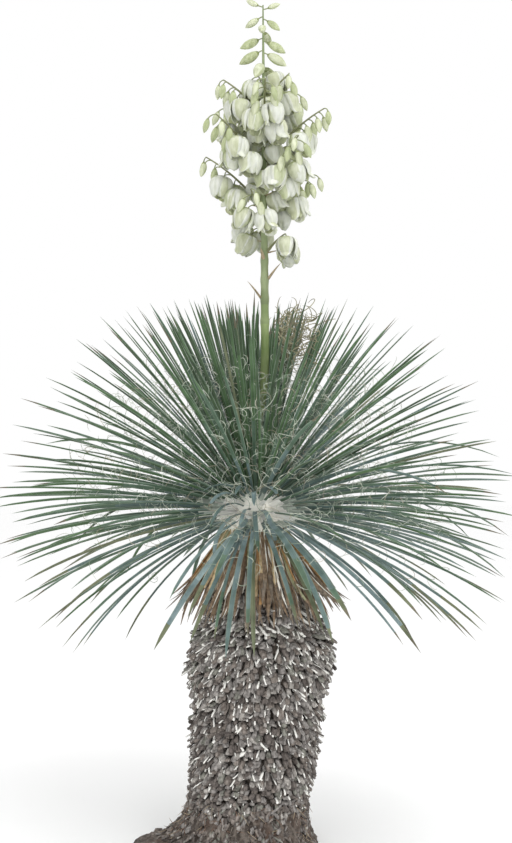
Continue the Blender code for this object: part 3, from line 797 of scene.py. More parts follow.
# %% Leaf finishes
def leaf_finish(name, dark, light, roughness=0.5):
    """Waxy leaf: the bloom lies unevenly, and fine lines run in it."""
    made = Finish(name, roughness)
    bloom = made.contrast(made.mottle(26, 3), 0.35, 0.65)
    made.coat(bloom, dark, light)
    made.feed(made.shader.inputs["Roughness"], bloom * 0.15 + (roughness - 0.05))
    made.relief(made.mottle(700, 2), 0.25, 0.0006)
    return made


LEAF_FINISHES = [
    leaf_finish("leaf_dark_green", (46, 65, 41), (66, 88, 58)),
    leaf_finish("leaf_deep_green", (60, 86, 53), (84, 112, 75)),
    leaf_finish("leaf_mid_green", (67, 90, 70), (91, 115, 96)),
    leaf_finish("leaf_grey_green", (77, 97, 92), (103, 123, 121)),
    leaf_finish("leaf_sea_green", (90, 109, 109), (120, 138, 140)),
    leaf_finish("leaf_blue_green", (116, 136, 137), (150, 168, 169)),
    leaf_finish("leaf_pale_green", (168, 178, 168), (200, 208, 199)),
    leaf_finish("leaf_cream", (248, 247, 242), (255, 255, 252)),
    leaf_finish("leaf_olive", (88, 95, 70), (112, 118, 90)),
    leaf_finish("leaf_tip_brown", (84, 80, 62), (114, 108, 88), 0.6),
    leaf_finish("leaf_margin", (112, 130, 114), (148, 163, 148)),
]
DARK, DEEP, MID, GREY, SEA, BLUE, PALE, CREAM, OLIVE, TIP, EDGE = range(11)
print(len(LEAF_FINISHES), "leaf finishes")

# %% [markdown]
# The bloom thickens with age and towards the base, in steps from deep green to blue, and leaves on the
# right are drawn paler, as a painted lit side. Each underside is drawn about a step darker than its top,
# as painted shade. The bases of older leaves are cream, some tips are brown, and the oldest leaves turn
# olive from the tip. Each band of faces along a blade takes the finish that this gives it.


# %% Colours along each leaf
def band_middles(share):
    return (share[:-1] + share[1:]) / 2


band_middle = band_middles(leaf_share)
leaf_bloom_and_lit_side = np.interp(leaf_age, [0, 0.25, 0.6, 1.0], [1.4, 1.9, 2.6, 3.3])
leaf_bloom_and_lit_side = leaf_bloom_and_lit_side + leaf_luck.normal(0, 0.6, LEAVES)
# Leaves on the right take more bloom, so they come out paler: a painted lit side, towards the key lamp.
leaf_bloom_and_lit_side = leaf_bloom_and_lit_side + 0.35 * np.cos(leaf_azimuth) + 0.7 * (leaf_age > 0.80) + 2.0 * leaf_curled
leaf_bloom_fall = np.interp(leaf_age, [0, 0.3, 0.7, 1.0], [0.4, 1.4, 2.6, 3.0])
leaf_bloom_and_lit_side = leaf_bloom_and_lit_side[:, None] + leaf_bloom_fall[:, None] * (0.5 - band_middle)
leaf_face = np.clip(np.round(leaf_bloom_and_lit_side), DEEP, BLUE).astype(int)
# Undersides take a finish about one step darker than the top side: painted shade.
leaf_back_painted_shade = np.clip(np.round(leaf_bloom_and_lit_side - 0.9), DARK, GREY).astype(int)
leaf_pale = np.interp(leaf_age, [0.45, 0.62, 0.78, 0.84], [0.02, 0.13, 0.17, 0.05])
leaf_pale = (leaf_pale * ~leaf_curled)[:, None]
leaf_yellowing = np.where(leaf_age > 0.80, leaf_luck.uniform(0.72, 1.0, LEAVES), 1)[:, None]
for place, finish in (
    ((leaf_luck.uniform(0, 1, (LEAVES, 1)) < 0.05) | (band_middle > leaf_yellowing), OLIVE),
    ((leaf_luck.uniform(0, 1, (LEAVES, 1)) < 0.3) & (band_middle > 0.95), TIP),
    (band_middle < leaf_pale, PALE),
    (band_middle < leaf_pale * 0.75, CREAM),
):
    leaf_face = np.where(place, finish, leaf_face)
    leaf_back_painted_shade = np.where(place, finish, leaf_back_painted_shade)
print("cream bands at the leaves' bases:", (leaf_face == CREAM).sum())

# %% [markdown]
# Some places on the spiral stay empty, as in the photo: many of the oldest, most in front of the trunk,
# and a few on the upper right and level with the crown. What is left becomes six tiers, one for each
# group of solids, so that each piece stands for the solids of its own age.

# %% Green leaves in tiers
THINNING_FROM, OLDEST_LEFT = 0.75, 0.08
UPPER_RIGHT_THINNED, UPPER_RIGHT_AGES = 0.10, (0.14, 0.40)
LEVEL_THINNED, LEVEL_AGES = 0.20, (0.47, 0.64)
FRONT_THINNED = 0.82
LEAF_TIERS = {"heart": 0.13, "inner": 0.30, "upper": 0.48, "level": 0.66, "lower": 0.83, "drooping": 1.00}
leaf_kept = leaf_luck.uniform(0, 1, LEAVES) < np.interp(leaf_age, [THINNING_FROM, 1], [1, OLDEST_LEFT])
leaf_to_right = np.maximum(0, np.cos(leaf_azimuth)) * aged(UPPER_RIGHT_AGES)
leaf_kept &= leaf_luck.uniform(0, 1, LEAVES) > UPPER_RIGHT_THINNED * leaf_to_right
leaf_kept &= leaf_luck.uniform(0, 1, LEAVES) > LEVEL_THINNED * aged(LEVEL_AGES)
leaf_kept &= (leaf_luck.uniform(0, 1, LEAVES) > FRONT_THINNED * leaf_to_front) | leaf_curled
print(leaf_kept.sum(), "of", LEAVES, "places hold a leaf")
tier_start = 0.0
for tier, tier_end in LEAF_TIERS.items():
    chosen = (leaf_age > tier_start) & (leaf_age <= tier_end) & leaf_kept
    tier_heap = Heap()
    tier_face, tier_back_painted_shade = leaf_face[chosen][..., None], leaf_back_painted_shade[chosen][..., None]
    # Underside strips take the darker finish, painted shade; the margins take the pale one.
    tier_faces = np.where(MARGIN & (tier_face < PALE), EDGE, np.where(UNDERSIDE, tier_back_painted_shade, tier_face))
    tier_heap.add(leaf_rings[chosen], tier_faces)
    tier_solids = nodes_named(f"leaves_{tier}_")
    tier_heap.piece(f"{tier}_leaves", LEAF_FINISHES, tier_solids, smooth=False)
    tier_start = tier_end

# %% [markdown]
# The edges of the leaves fray into wiry threads that curl like wood shavings, most of them on leaves of
# middle age. They make the crown look woolly. Hair particles would be lost in the export, so each
# thread is a thin three-sided tube on a path that turns more and more tightly as it goes.

# %% How a thread curls
THREAD_SIDES = 3


def curling_path(start, heading, axis, length, curl, drift, steps):
    """Paths that set off along heading and curl about axis, more tightly towards the end."""
    share = (np.arange(steps) + 0.5) / steps
    angle = curl[:, None] * share**1.3
    normal = np.cross(axis, heading)
    step = heading[:, None] * np.cos(angle)[..., None] + normal[:, None] * np.sin(angle)[..., None]
    step = (step + axis[:, None] * drift[:, None, None]) * (length / steps)[:, None, None]
    return walked(start, step)


def threads(luck, start, heading, length, curl, radius, steps, spread=0.35):
    """Tubes that set off roughly along heading and curl to a random side."""
    count = len(start)
    heading = unit(heading + luck.normal(0, spread, (count, 3)))
    axis = unit(np.cross(heading, luck.normal(0, 1, (count, 3))))
    path = curling_path(start, heading, axis, length, curl, luck.normal(0, 0.25, count), steps)
    thinning = np.interp(np.linspace(0, 1, steps + 1), [0, 0.7, 1], [1, 0.85, 0.3])
    return sweep(path, axis, round_section(radius * thinning * np.ones((count, 1)), THREAD_SIDES))


def clear_of_stalk(rings):
    """Which shapes leave the view of the lower stalk free."""
    return ~before_stalk(rings, 0).any((1, 2))


print("threads are tubes of", THREAD_SIDES, "sides")

# %% [markdown]
# A thread starts at one edge of a leaf, somewhere along its middle, and leaves it outwards. Threads
# that would hang before the stalk are left out, and the rest are joined in two pieces.

# %% Curling threads
THREADS = 3300
THREAD_RADIUS, THREAD_STEPS = 0.00058, 8
LEAF_EDGES = [0, 4]
INNER_THREADS_TO = 0.45
thread_luck = np.random.default_rng(81)
thread_odds = np.interp(leaf_age, [0, 0.1, 0.6, 0.78, 0.86], [0.5, 1.4, 2.0, 1.4, 0.1]) * leaf_kept
thread_leaf = thread_luck.choice(LEAVES, THREADS, p=thread_odds / thread_odds.sum())
thread_at = thread_luck.integers(2, 10, THREADS)
thread_edge = thread_luck.choice(LEAF_EDGES, THREADS)
thread_start = leaf_rings[thread_leaf, thread_at, thread_edge]
thread_along = unit(leaf_path[thread_leaf, thread_at + 1] - leaf_path[thread_leaf, thread_at])
thread_outward = unit(thread_start - leaf_path[thread_leaf, thread_at])
thread_length = thread_luck.uniform(0.022, 0.070, THREADS)
thread_curl = thread_luck.uniform(1.8, 6.0, THREADS)
thread_heading = thread_along + 1.1 * thread_outward
thread_rings = threads(
    thread_luck, thread_start, thread_heading, thread_length, thread_curl, THREAD_RADIUS, THREAD_STEPS
)
thread_clear = clear_of_stalk(thread_rings)
thread_inner = leaf_age[thread_leaf] < INNER_THREADS_TO
thread_kind = thread_luck.choice(3, THREADS, p=[0.50, 0.30, 0.20])
thread_finishes = [
    leaf_finish("thread_pale", (192, 199, 182), (216, 221, 206), 0.6),
    leaf_finish("thread_green", (140, 156, 136), (168, 182, 162), 0.6),
    leaf_finish("thread_dry", (162, 154, 134), (190, 182, 162), 0.7),
]
for part, chosen in (("inner", thread_inner & thread_clear), ("outer", ~thread_inner & thread_clear)):
    thread_heap = Heap()
    thread_heap.add(thread_rings[chosen], thread_kind[chosen])
    thread_heap.piece(f"curling_threads_{part}", thread_finishes)

# %% [markdown]
# Loose fibres of rotted leaf bases lie over the root flare, mostly running down it. They are the same
# tubes as the threads, stiffer, and laid along the bark and never below the ground.

# %% Fibres on the root flare
FIBRES, FIBRE_RADIUS, FIBRE_STEPS = 320, 0.0007, 5
fibre_luck = np.random.default_rng(83)
fibre_turn = fibre_luck.uniform(0, math.tau, FIBRES)
fibre_height = fibre_luck.uniform(0.012, 0.100, FIBRES)
fibre_down, fibre_side, _ = trunk_directions(fibre_turn, fibre_height)
fibre_slant = fibre_luck.normal(0, 0.9, FIBRES)[:, None]
fibre_heap = Heap()
fibre_rings = threads(
    fibre_luck,
    trunk_point(fibre_turn, fibre_height, np.full(FIBRES, -0.0005)),
    fibre_down * np.cos(fibre_slant) + fibre_side * np.sin(fibre_slant),
    fibre_luck.uniform(0.012, 0.034, FIBRES),
    fibre_luck.uniform(0.1, 0.9, FIBRES),
    FIBRE_RADIUS,
    FIBRE_STEPS,
    spread=0.10,
)
fibre_heap.add(on_ground(fibre_rings), fibre_luck.choice(3, FIBRES, p=[0.4, 0.35, 0.25]))
fibre_finishes = [
    dry_finish("fibre_red_brown", (112, 88, 74), (150, 122, 104)),
    dry_finish("fibre_straw", (150, 134, 110), (190, 172, 146)),
    dry_finish("fibre_grey", (120, 112, 102), (160, 150, 138)),
]
fibre_heap.piece("bark_fibres", fibre_finishes)

# %% [markdown]
# Beside the stalk a knot of longer, dead threads has dried to straw colour among the topmost leaf tips.
# No leaf carries them any more, so their starts are scattered in a small space before the stalk and to
# its right, and they curl by up to about one whole turn.

# %% Dry tangle by the stalk
TANGLE, TANGLE_RADIUS, TANGLE_STEPS = 150, 0.00110, 18
tangle_luck = np.random.default_rng(82)
tangle_start = np.stack(
    [
        tangle_luck.triangular(0.030, 0.045, 0.125, TANGLE),
        tangle_luck.normal(-0.100, 0.028, TANGLE),
        tangle_luck.uniform(0.955, 1.056, TANGLE),
    ],
    -1,
)
tangle_rings = threads(
    tangle_luck,
    tangle_start,
    facing(tangle_luck.uniform(0, math.tau, TANGLE), 0.3),
    tangle_luck.uniform(0.035, 0.090, TANGLE),
    tangle_luck.uniform(2.5, 7.0, TANGLE),
    TANGLE_RADIUS,
    TANGLE_STEPS,
)
tangle_heap = Heap()
tangle_heap.add(tangle_rings[clear_of_stalk(tangle_rings)], 0)
tangle_finish = leaf_finish("thread_straw", (116, 112, 88), (168, 163, 134), 0.75)
tangle_heap.piece("dry_tangle", [tangle_finish])

# %% [markdown]
# Under the green crown hangs a skirt of dead leaves, by the same spiral. They have dried a little
# twisted and wavy, and stand out from the trunk like a short grass skirt before they pass over into
# the stubs. They are the same blades as the green leaves, only steeper and shorter.

# %% How the dead leaves hang
SKIRT_LEAVES = 300
SKIRT_ELEVATION, SKIRT_ELEVATION_FALL, SKIRT_BEND = -56.0, 9.0, -4.0
SKIRT_LENGTH, SKIRT_LENGTH_FALL, SKIRT_LENGTH_SPREAD = 0.195, 0.05, 0.18
SKIRT_WIDTH = 0.0096
SKIRT_STEPS = 10
skirt_luck = np.random.default_rng(91)
skirt_at = (np.arange(SKIRT_LEAVES) + 0.5) / SKIRT_LEAVES
skirt_age = SKIRT_AGES[0] + (SKIRT_AGES[1] - SKIRT_AGES[0]) * skirt_at
skirt_azimuth = (LEAVES + np.arange(SKIRT_LEAVES)) * GOLDEN_ANGLE + skirt_luck.normal(0, 0.05, SKIRT_LEAVES)
skirt_slope = SKIRT_ELEVATION - SKIRT_ELEVATION_FALL * skirt_at
skirt_elevation = np.radians(skirt_slope + skirt_luck.uniform(-6, 6, SKIRT_LEAVES))
skirt_long = (SKIRT_LENGTH - SKIRT_LENGTH_FALL * skirt_at) * (
    1 + SKIRT_LENGTH_SPREAD * skirt_luck.uniform(-1, 1, SKIRT_LEAVES)
)
skirt_path = bending_path(
    seats(skirt_age, skirt_azimuth, 0.003),
    skirt_azimuth,
    skirt_elevation,
    np.radians(SKIRT_BEND + skirt_luck.normal(0, 12, SKIRT_LEAVES)),
    skirt_long,
    SKIRT_STEPS,
    BEND_POWER,
)
skirt_share = np.linspace(0, 1, SKIRT_STEPS + 1)
skirt_wave = skirt_luck.normal(0, 0.011, (SKIRT_LEAVES, 1)) * skirt_share**2
skirt_wave = skirt_wave + skirt_luck.normal(0, 0.0028, (SKIRT_LEAVES, 1)) * np.sin(skirt_share * 7.0)
skirt_path = swayed(skirt_path, skirt_azimuth, skirt_wave)
skirt_side = rolled(skirt_azimuth, skirt_elevation, skirt_luck.normal(0, 0.5, SKIRT_LEAVES))
skirt_half = SKIRT_WIDTH / 2 * np.interp(skirt_share, [0, 0.2, 0.75, 0.92, 1], [0.9, 1, 0.85, 0.55, 0.12])
skirt_half = skirt_half * (1 + skirt_luck.normal(0, 0.12, (SKIRT_LEAVES, 1)))
skirt_rings = blades(skirt_path, skirt_side, skirt_half)
print("dead leaves are", skirt_long.min().round(3), "to", skirt_long.max().round(3), "m long")

# %% [markdown]
# A dead leaf keeps some tan, rust or olive towards its base, and is brown and grey towards its tip. So
# each leaf takes up to three finishes along its length, with the changes at its own places.

# %% The dead leaves' colours
SKIRT_BROWN, SKIRT_GREY, SKIRT_BLEACHED = 3, 4, 5
skirt_finishes = [
    dry_finish("skirt_tan", (180, 158, 119), (226, 203, 164), 0.8),
    dry_finish("skirt_rust", (164, 124, 80), (208, 166, 114), 0.8),
    dry_finish("skirt_olive", (132, 132, 100), (176, 176, 142), 0.8),
    dry_finish("skirt_brown", (108, 90, 72), (160, 138, 114), 0.85),
    dry_finish("skirt_grey", (100, 90, 79), (150, 137, 122), 0.9),
    dry_finish("skirt_bleached", (232, 228, 216), (250, 248, 240), 0.8),
]
skirt_top = skirt_luck.choice(4, SKIRT_LEAVES, p=[0.32, 0.26, 0.20, 0.22])
skirt_low = skirt_luck.choice([SKIRT_BROWN, SKIRT_GREY], SKIRT_LEAVES)
skirt_fade = skirt_luck.uniform(0.35, 0.90, SKIRT_LEAVES) - 0.35 * skirt_at
skirt_middle = band_middles(skirt_share)
skirt_bands = np.where(skirt_middle < skirt_fade[:, None] + 0.2, SKIRT_BROWN, skirt_low[:, None])
skirt_bands = np.where(skirt_middle < skirt_fade[:, None], skirt_top[:, None], skirt_bands)
skirt_heap = Heap()
skirt_heap.add(skirt_rings, skirt_bands)
print(len(skirt_finishes), "finishes for dead leaves")

# %% [markdown]
# Between the dead leaves the photo shows narrow white slits, taken here for bleached skin. A short thin
# blade beside some of the leaves, a little further out, gives each slit its own place and width.

# %% Pale slits and the dead skirt
SLIT_LEVELS, SLIT_SHARE, SLIT_OUTWARD = 5, 0.42, 0.0022
slit_from = skirt_luck.integers(1, SKIRT_STEPS - SLIT_LEVELS + 2, SKIRT_LEAVES)
slit_path = skirt_path[np.arange(SKIRT_LEAVES)[:, None], slit_from[:, None] + np.arange(SLIT_LEVELS)]
slit_shift = skirt_side * (SKIRT_WIDTH * 0.55) + facing(skirt_azimuth) * SLIT_OUTWARD
slit_half = skirt_luck.uniform(0.0009, 0.0028, (SKIRT_LEAVES, 1)) * np.array([0.1, 0.9, 1.0, 0.7, 0.1])
slit_rings = blades(slit_path + slit_shift[:, None], skirt_side, slit_half)
skirt_heap.add(slit_rings[skirt_luck.uniform(0, 1, SKIRT_LEAVES) < SLIT_SHARE], SKIRT_BLEACHED)
skirt_heap.piece("dead_skirt", skirt_finishes, nodes_named("dead_skirt_"), smooth=False)

# %% [markdown]
# One stalk rises through the heart, nearly 2 cm thick, and thins to about 3 mm between the last buds.
# It swells a little where a dry bract stands. Low down, where the leaves shade it, its green is painted
# lighter to lift that shade, so three bands of finish follow one another up the one long tube.

# %% Flower stalk
STALK_FOOT_X, STALK_X, STALK_TOP_X = 0.004, 0.018, 0.014
STALK_FOOT_Z, STALK_BEND_Z, STALK_TOP_Z = 0.7158, 1.000, 1.676
STALK_RADII = np.array(
    [(0.716, 0.0092), (1.05, 0.0082), (1.22, 0.0068), (1.42, 0.0042), (1.60, 0.0022), (1.68, 0.0013)]
)
STALK_BRACTS = ((1.088, 178, 0.046), (1.126, -8, 0.044), (1.043, 15, 0.013), (1.165, 250, 0.030))
STALK_BAND_ENDS = [1.035, 1.075]
JOINT_SWELL, JOINT_LENGTH = 0.16, 0.008


def stalk_middle(height):
    low = np.clip((height - STALK_FOOT_Z) / (STALK_BEND_Z - STALK_FOOT_Z), 0, 1)
    high = np.clip((height - STALK_BEND_Z) / (STALK_TOP_Z - STALK_BEND_Z), 0, 1)
    x = STALK_FOOT_X + (STALK_X - STALK_FOOT_X) * np.sin(low * math.pi / 2) + (STALK_TOP_X - STALK_X) * high
    return np.stack(np.broadcast_arrays(x, 0.0, height), -1)


def stalk_radius(height):
    return np.interp(height, STALK_RADII[:, 0], STALK_RADII[:, 1])


stalk_heights = np.linspace(STALK_FOOT_Z, STALK_TOP_Z, 150)
stalk_swell = sum(np.exp(-(((stalk_heights - bract[0]) / JOINT_LENGTH) ** 2)) for bract in STALK_BRACTS)
stalk_path = stalk_middle(stalk_heights)[None]
stalk_radii = (stalk_radius(stalk_heights) * (1 + JOINT_SWELL * stalk_swell))[None]
stalk_heap = Heap()
stalk_bands = np.digitize(stalk_heights[:-1], STALK_BAND_ENDS)
stalk_heap.add(sweep(stalk_path, np.array([[1.0, 0, 0]]), round_section(stalk_radii, 20)), stalk_bands[None])
stalk_finishes = [
    # The lowest band is the lightest green: painted light, where the leaves shade the stalk.
    leaf_finish("stalk_green_painted_light", (136, 158, 96), (164, 182, 124), 0.45),
    leaf_finish("stalk_middle_green", (126, 144, 92), (155, 170, 121), 0.45),
    leaf_finish("stalk_green", (116, 130, 88), (146, 158, 118), 0.45),
]
stalk_heap.piece("flower_stalk_stem", stalk_finishes, ["flower_stalk"])

# %% [markdown]
# The head is a loose spindle: branches rise from the stalk a golden angle apart, short at the foot and
# the tip and long between. Each starts inside the stalk and bends like a leaf's path, so the blades'
# way of bending serves again, with round rings.

# %% Branches of the head
BRANCHES = 15
BRANCH_FROM_Z, BRANCH_TO_Z = 1.180, 1.500
BRANCH_FIRST_AZIMUTH = math.radians(-24)
BRANCH_SHORTEST, BRANCH_LONGEST = 0.055, 0.158
BRANCH_RISE, BRANCH_BEND = 50.0, 20.0
BRANCH_RADIUS, BRANCH_TIP_RADIUS = 0.0030, 0.0013
BRANCH_STEPS = 12


def head_swell(share):
    """How long the branches are up the head, from 0 to 1."""
    rise = np.minimum(1.0, share / 0.28)
    fall = np.minimum(1.0, (1.08 - share) / 0.45)
    return (rise * rise * (3 - 2 * rise)) * (fall * fall * (3 - 2 * fall))


flower_luck = np.random.default_rng(101)
branch_share = np.arange(BRANCHES) / (BRANCHES - 1)
branch_height = BRANCH_FROM_Z + (BRANCH_TO_Z - BRANCH_FROM_Z) * branch_share
branch_azimuth = BRANCH_FIRST_AZIMUTH + np.arange(BRANCHES) * GOLDEN_ANGLE
branch_long = BRANCH_SHORTEST + (BRANCH_LONGEST - BRANCH_SHORTEST) * head_swell(branch_share)
branch_inside = (stalk_radius(branch_height) * 0.5)[:, None]
branch_root = stalk_middle(branch_height) + facing(branch_azimuth) * branch_inside
branch_path = bending_path(
    branch_root,
    branch_azimuth,
    np.full(BRANCHES, math.radians(BRANCH_RISE)),
    np.full(BRANCHES, math.radians(BRANCH_BEND)),
    branch_long,
    BRANCH_STEPS,
    BEND_POWER,
)
branch_radii = np.linspace(BRANCH_RADIUS, BRANCH_TIP_RADIUS, BRANCH_STEPS + 1) * np.ones((BRANCHES, 1))
branch_heap = Heap()
branch_heap.add(sweep(branch_path, facing(branch_azimuth + math.pi / 2), round_section(branch_radii, 10)), 0)
branch_finish = leaf_finish("branch_olive", (104, 108, 72), (132, 134, 98), 0.55)
branch_heap.piece("flower_branches", [branch_finish], nodes_named("flower_branch_"))

# %% [markdown]
# Flowers hang along the outer part of each branch, left and right in turn, from stems that turn down.
# Open bells fill the middle of the head and buds stand at the ends. More bells hang straight from the
# upper stalk. Only their places are noted here, since they still have to make room for one another.

# %% Where the flowers hang
FLOWER_SPACING = 0.0190
BARE_SHARE, BUDS_FROM = 0.36, 0.66
BELL_LENGTH, BUD_LENGTH = 0.048, 0.035
STALK_BELLS, STALK_BELLS_FROM_Z, STALK_BELL_STEP = 14, 1.310, 0.0182
feet, outwards, lengths, droops, is_bud = [], [], [], [], []


def hang(foot, outward, length, droop, bud):
    """Notes a flower: where its stem starts, the way the stem leaves, its length, its tilt and its kind."""
    feet.append(foot)
    outwards.append(outward)
    lengths.append(length)
    droops.append(droop)
    is_bud.append(bud)


for branch in range(BRANCHES):
    places = max(1, round(branch_long[branch] / FLOWER_SPACING) - (1 if branch_share[branch] < 0.2 else 0))
    for place in range(places):
        at = BARE_SHARE + (1 - BARE_SHARE) * (place + 0.95) / places
        bud = bool((branch_long[branch] > 0.09 or branch_share[branch] > 0.8) and at > BUDS_FROM)
        length = BUD_LENGTH * (1.05 - 0.6 * (at - BUDS_FROM)) if bud else BELL_LENGTH * (1.05 - 0.12 * at)
        foot = branch_path[branch, min(round(at * BRANCH_STEPS), BRANCH_STEPS)]
        side = branch_azimuth[branch] + (math.pi / 2.4) * (-1 if place % 2 else 1)
        outward = unit(facing(side) + facing(branch_azimuth[branch]) * 0.35)
        hang(foot, outward, length, flower_luck.uniform(0.10, 0.45), bud)
for bell in range(STALK_BELLS):
    height = STALK_BELLS_FROM_Z + STALK_BELL_STEP * bell
    hang(stalk_middle(height), facing(bell * GOLDEN_ANGLE), BELL_LENGTH * 0.88, 0.4, False)
feet, outwards, lengths, droops, is_bud = [np.array(v) for v in (feet, outwards, lengths, droops, is_bud)]

print(len(feet), "places for flowers, without the tip")

# %% [markdown]
# On the plant the bells hang shoulder to shoulder and push one another aside. A run of physics could do
# that. A short loop does too: balls as wide as the flowers push apart where they overlap, keep off the
# stalk, and are drawn a little way home at each turn.

# %% Flowers settle side by side
PEDICEL = 0.015
BELL_WIDTH, BUD_WIDTH = 1.0, 0.44
SETTLE_TURNS, SETTLE_CLOSE, SETTLE_PUSH, SETTLE_HOMING, STALK_ROOM = 120, 0.90, 0.35, 0.02, 0.004
flower_down = unit(outwards * droops[:, None] + np.array([0, 0, -1.0]))
flower_reach = lengths * np.where(is_bud, BUD_WIDTH, BELL_WIDTH) / 2
flower_home = feet + outwards * PEDICEL + flower_down * (PEDICEL * 0.5 + lengths / 2)[:, None]
flower_middle = flower_home.copy()
for turn in range(SETTLE_TURNS):
    apart = flower_middle[:, None] - flower_middle[None]
    distance = np.linalg.norm(apart, axis=-1) + np.eye(len(feet))
    wanted = (flower_reach[:, None] + flower_reach[None]) * SETTLE_CLOSE
    push = np.maximum(0, wanted - distance) * (1 - np.eye(len(feet)))
    flower_middle += (apart / distance[..., None] * (SETTLE_PUSH * push)[..., None]).sum(1)
    from_stalk = flower_middle - stalk_middle(flower_middle[:, 2])
    from_stalk[:, 2] = 0
    gap = np.linalg.norm(from_stalk, axis=-1, keepdims=True)
    flower_middle += from_stalk / gap * np.maximum(0, flower_reach[:, None] + STALK_ROOM - gap)
    flower_middle += (flower_home - flower_middle) * SETTLE_HOMING
flower_moved = np.linalg.norm(flower_middle - flower_home, axis=-1).max()
print("flowers moved by up to", round(float(flower_moved) * 1000), "mm")
flower_top = flower_middle - flower_down * lengths[:, None] / 2

# %% [markdown]
# The tip of the stalk hasn't opened yet. Its buds sit in pairs, most of them left and right, smaller
# towards the top, where the last two point up. They are few and plain to see, so they are placed by
# rule and not moved by the loop above.

# %% Buds up the tip
TIP_BUD_LENGTH = 0.051
TIP_PAIRS, TIP_TOP_Z, TIP_PAIR_STEP, TIP_PAIR_WIDENS = 6, 1.672, 0.0185, 0.0008
tip_pair = np.repeat(np.arange(TIP_PAIRS), 2)
tip_second = np.tile([0, 1], TIP_PAIRS)
tip_count = 2 * TIP_PAIRS
tip_height = TIP_TOP_Z - TIP_PAIR_STEP * tip_pair - TIP_PAIR_WIDENS * tip_pair**2 - 0.005 * tip_second
tip_foot = stalk_middle(tip_height)
tip_azimuth = math.pi * (1 - tip_second) + 1.15 * (tip_pair % 3 == 2)
tip_azimuth = tip_azimuth + flower_luck.uniform(-0.35, 0.35, tip_count)
tip_rise = np.radians(np.where(tip_pair == 0, 26, -30) + flower_luck.uniform(-9, 9, tip_count))
tip_length = TIP_BUD_LENGTH * np.interp(tip_pair, [0, 1, TIP_PAIRS - 1], [0.52, 0.64, 0.98])
tip_down = facing(tip_azimuth, tip_rise)
tip_outward = facing(tip_azimuth, tip_rise / 2)
tip_top = tip_foot + tip_outward * (PEDICEL * 0.40) + tip_down * PEDICEL * 0.25
feet, outwards = np.concatenate([feet, tip_foot]), np.concatenate([outwards, tip_outward])
flower_down, flower_top = np.concatenate([flower_down, tip_down]), np.concatenate([flower_top, tip_top])
lengths, is_bud = np.concatenate([lengths, tip_length]), np.concatenate([is_bud, np.full(tip_count, True)])
print((~is_bud).sum(), "open bells,", is_bud.sum(), "buds")

# %% [markdown]
# An open flower is a hanging bell of six petals, three outer over three inner, cupped and pointed. A
# petal has rings from stem to point like everything else here, but they are thin curved strips that
# wrap round the flower's own axis, a shape that bent blades can't give.

# %% Shape of a petal
PETAL_LEVELS = np.array([0, 0.03, 0.10, 0.22, 0.38, 0.56, 0.74, 0.88, 0.96, 1.0])
PETAL_RADII = np.array([0.06, 0.23, 0.39, 0.485, 0.520, 0.500, 0.425, 0.320, 0.235, 0.190])
PETAL_HALF_TURN = np.array([1.05, 1.04, 1.00, 0.94, 0.88, 0.83, 0.76, 0.62, 0.40, 0.06])
PETAL_ACROSS = np.array([-1, -0.6, -0.25, 0, 0.25, 0.6, 1])
PETAL_CREASE = np.array([-0.060, -0.012, 0.0, 0.022, 0.0, -0.012, -0.060])
PETAL_THICKNESS = 0.0009
PETAL_EDGES, PETAL_RIB = [0, 5], [2, 3]
GREEN_FOOT_BANDS = 2


def around(down):
    """Two directions square to a flower's axis."""
    first = unit(np.cross(down, np.array([0.31, 0.95, 0.05])))
    return first, np.cross(down, first)


def petal_rings(top, down, length, luck, inner):
    """Three petals a flower, one after another."""
    count = len(top)
    first, second = around(down)
    spin = luck.uniform(0, math.tau, count)
    petals = []
    for petal in range(3):
        turn = spin + petal * math.tau / 3 + (math.pi / 3 if inner else 0)
        opening = luck.uniform(-0.08, 0.14, count)[:, None] * PETAL_LEVELS**2
        radius = PETAL_RADII * (0.93 if inner else 1.0) * (1 + opening)
        turned_out = luck.uniform(0, 0.12, count) + 0.22 * (luck.uniform(0, 1, count) < 0.35)
        flare_out = turned_out[:, None] * np.maximum(0, PETAL_LEVELS - 0.74) / 0.26
        depth = PETAL_LEVELS * (1 + luck.normal(0, 0.02, (count, 1)))
        angle = turn[:, None, None] + PETAL_HALF_TURN[:, None] * PETAL_ACROSS
        reach = (radius + flare_out)[..., None] * (1 + PETAL_CREASE) * length[:, None, None]
        across, upward = np.cos(angle)[..., None], np.sin(angle)[..., None]
        ring = first[:, None, None] * across + second[:, None, None] * upward
        drop = (depth * length[:, None])[:, :, None, None] * down[:, None, None]
        sheets = []
        for inset, order in ((0.0, slice(None)), (PETAL_THICKNESS, slice(None, None, -1))):
            sheets.append((top[:, None, None] + ring * (reach - inset)[..., None] + drop)[:, :, order])
        petals.append(np.concatenate(sheets, axis=2))
    return np.concatenate(petals)


print("a petal has", len(PETAL_LEVELS), "rings of", 2 * len(PETAL_ACROSS))

# %% [markdown]
# Petals are so thin that light comes through them, which makes the shaded side glow. Subsurface
# scattering gives that. The green foot, a short green rib above it and the cream and white beyond are
# bands of faces with finishes of their own.


# %% Petals
def petal_finish(name, dark, light):
    """Petals are thin enough to let light through."""
    made = Finish(name, 0.6)
    made.shader.inputs["Subsurface Weight"].default_value = 0.6
    made.shader.inputs["Subsurface Radius"].default_value = (1.0, 1.0, 0.8)
    made.shader.inputs["Subsurface Scale"].default_value = 0.004
    veins = made.contrast(made.mottle(140, 3, (1, 1, 0.35)), 0.35, 0.65)
    made.coat(veins, dark, light)
    made.relief(veins, 0.15, 0.0006)
    return made


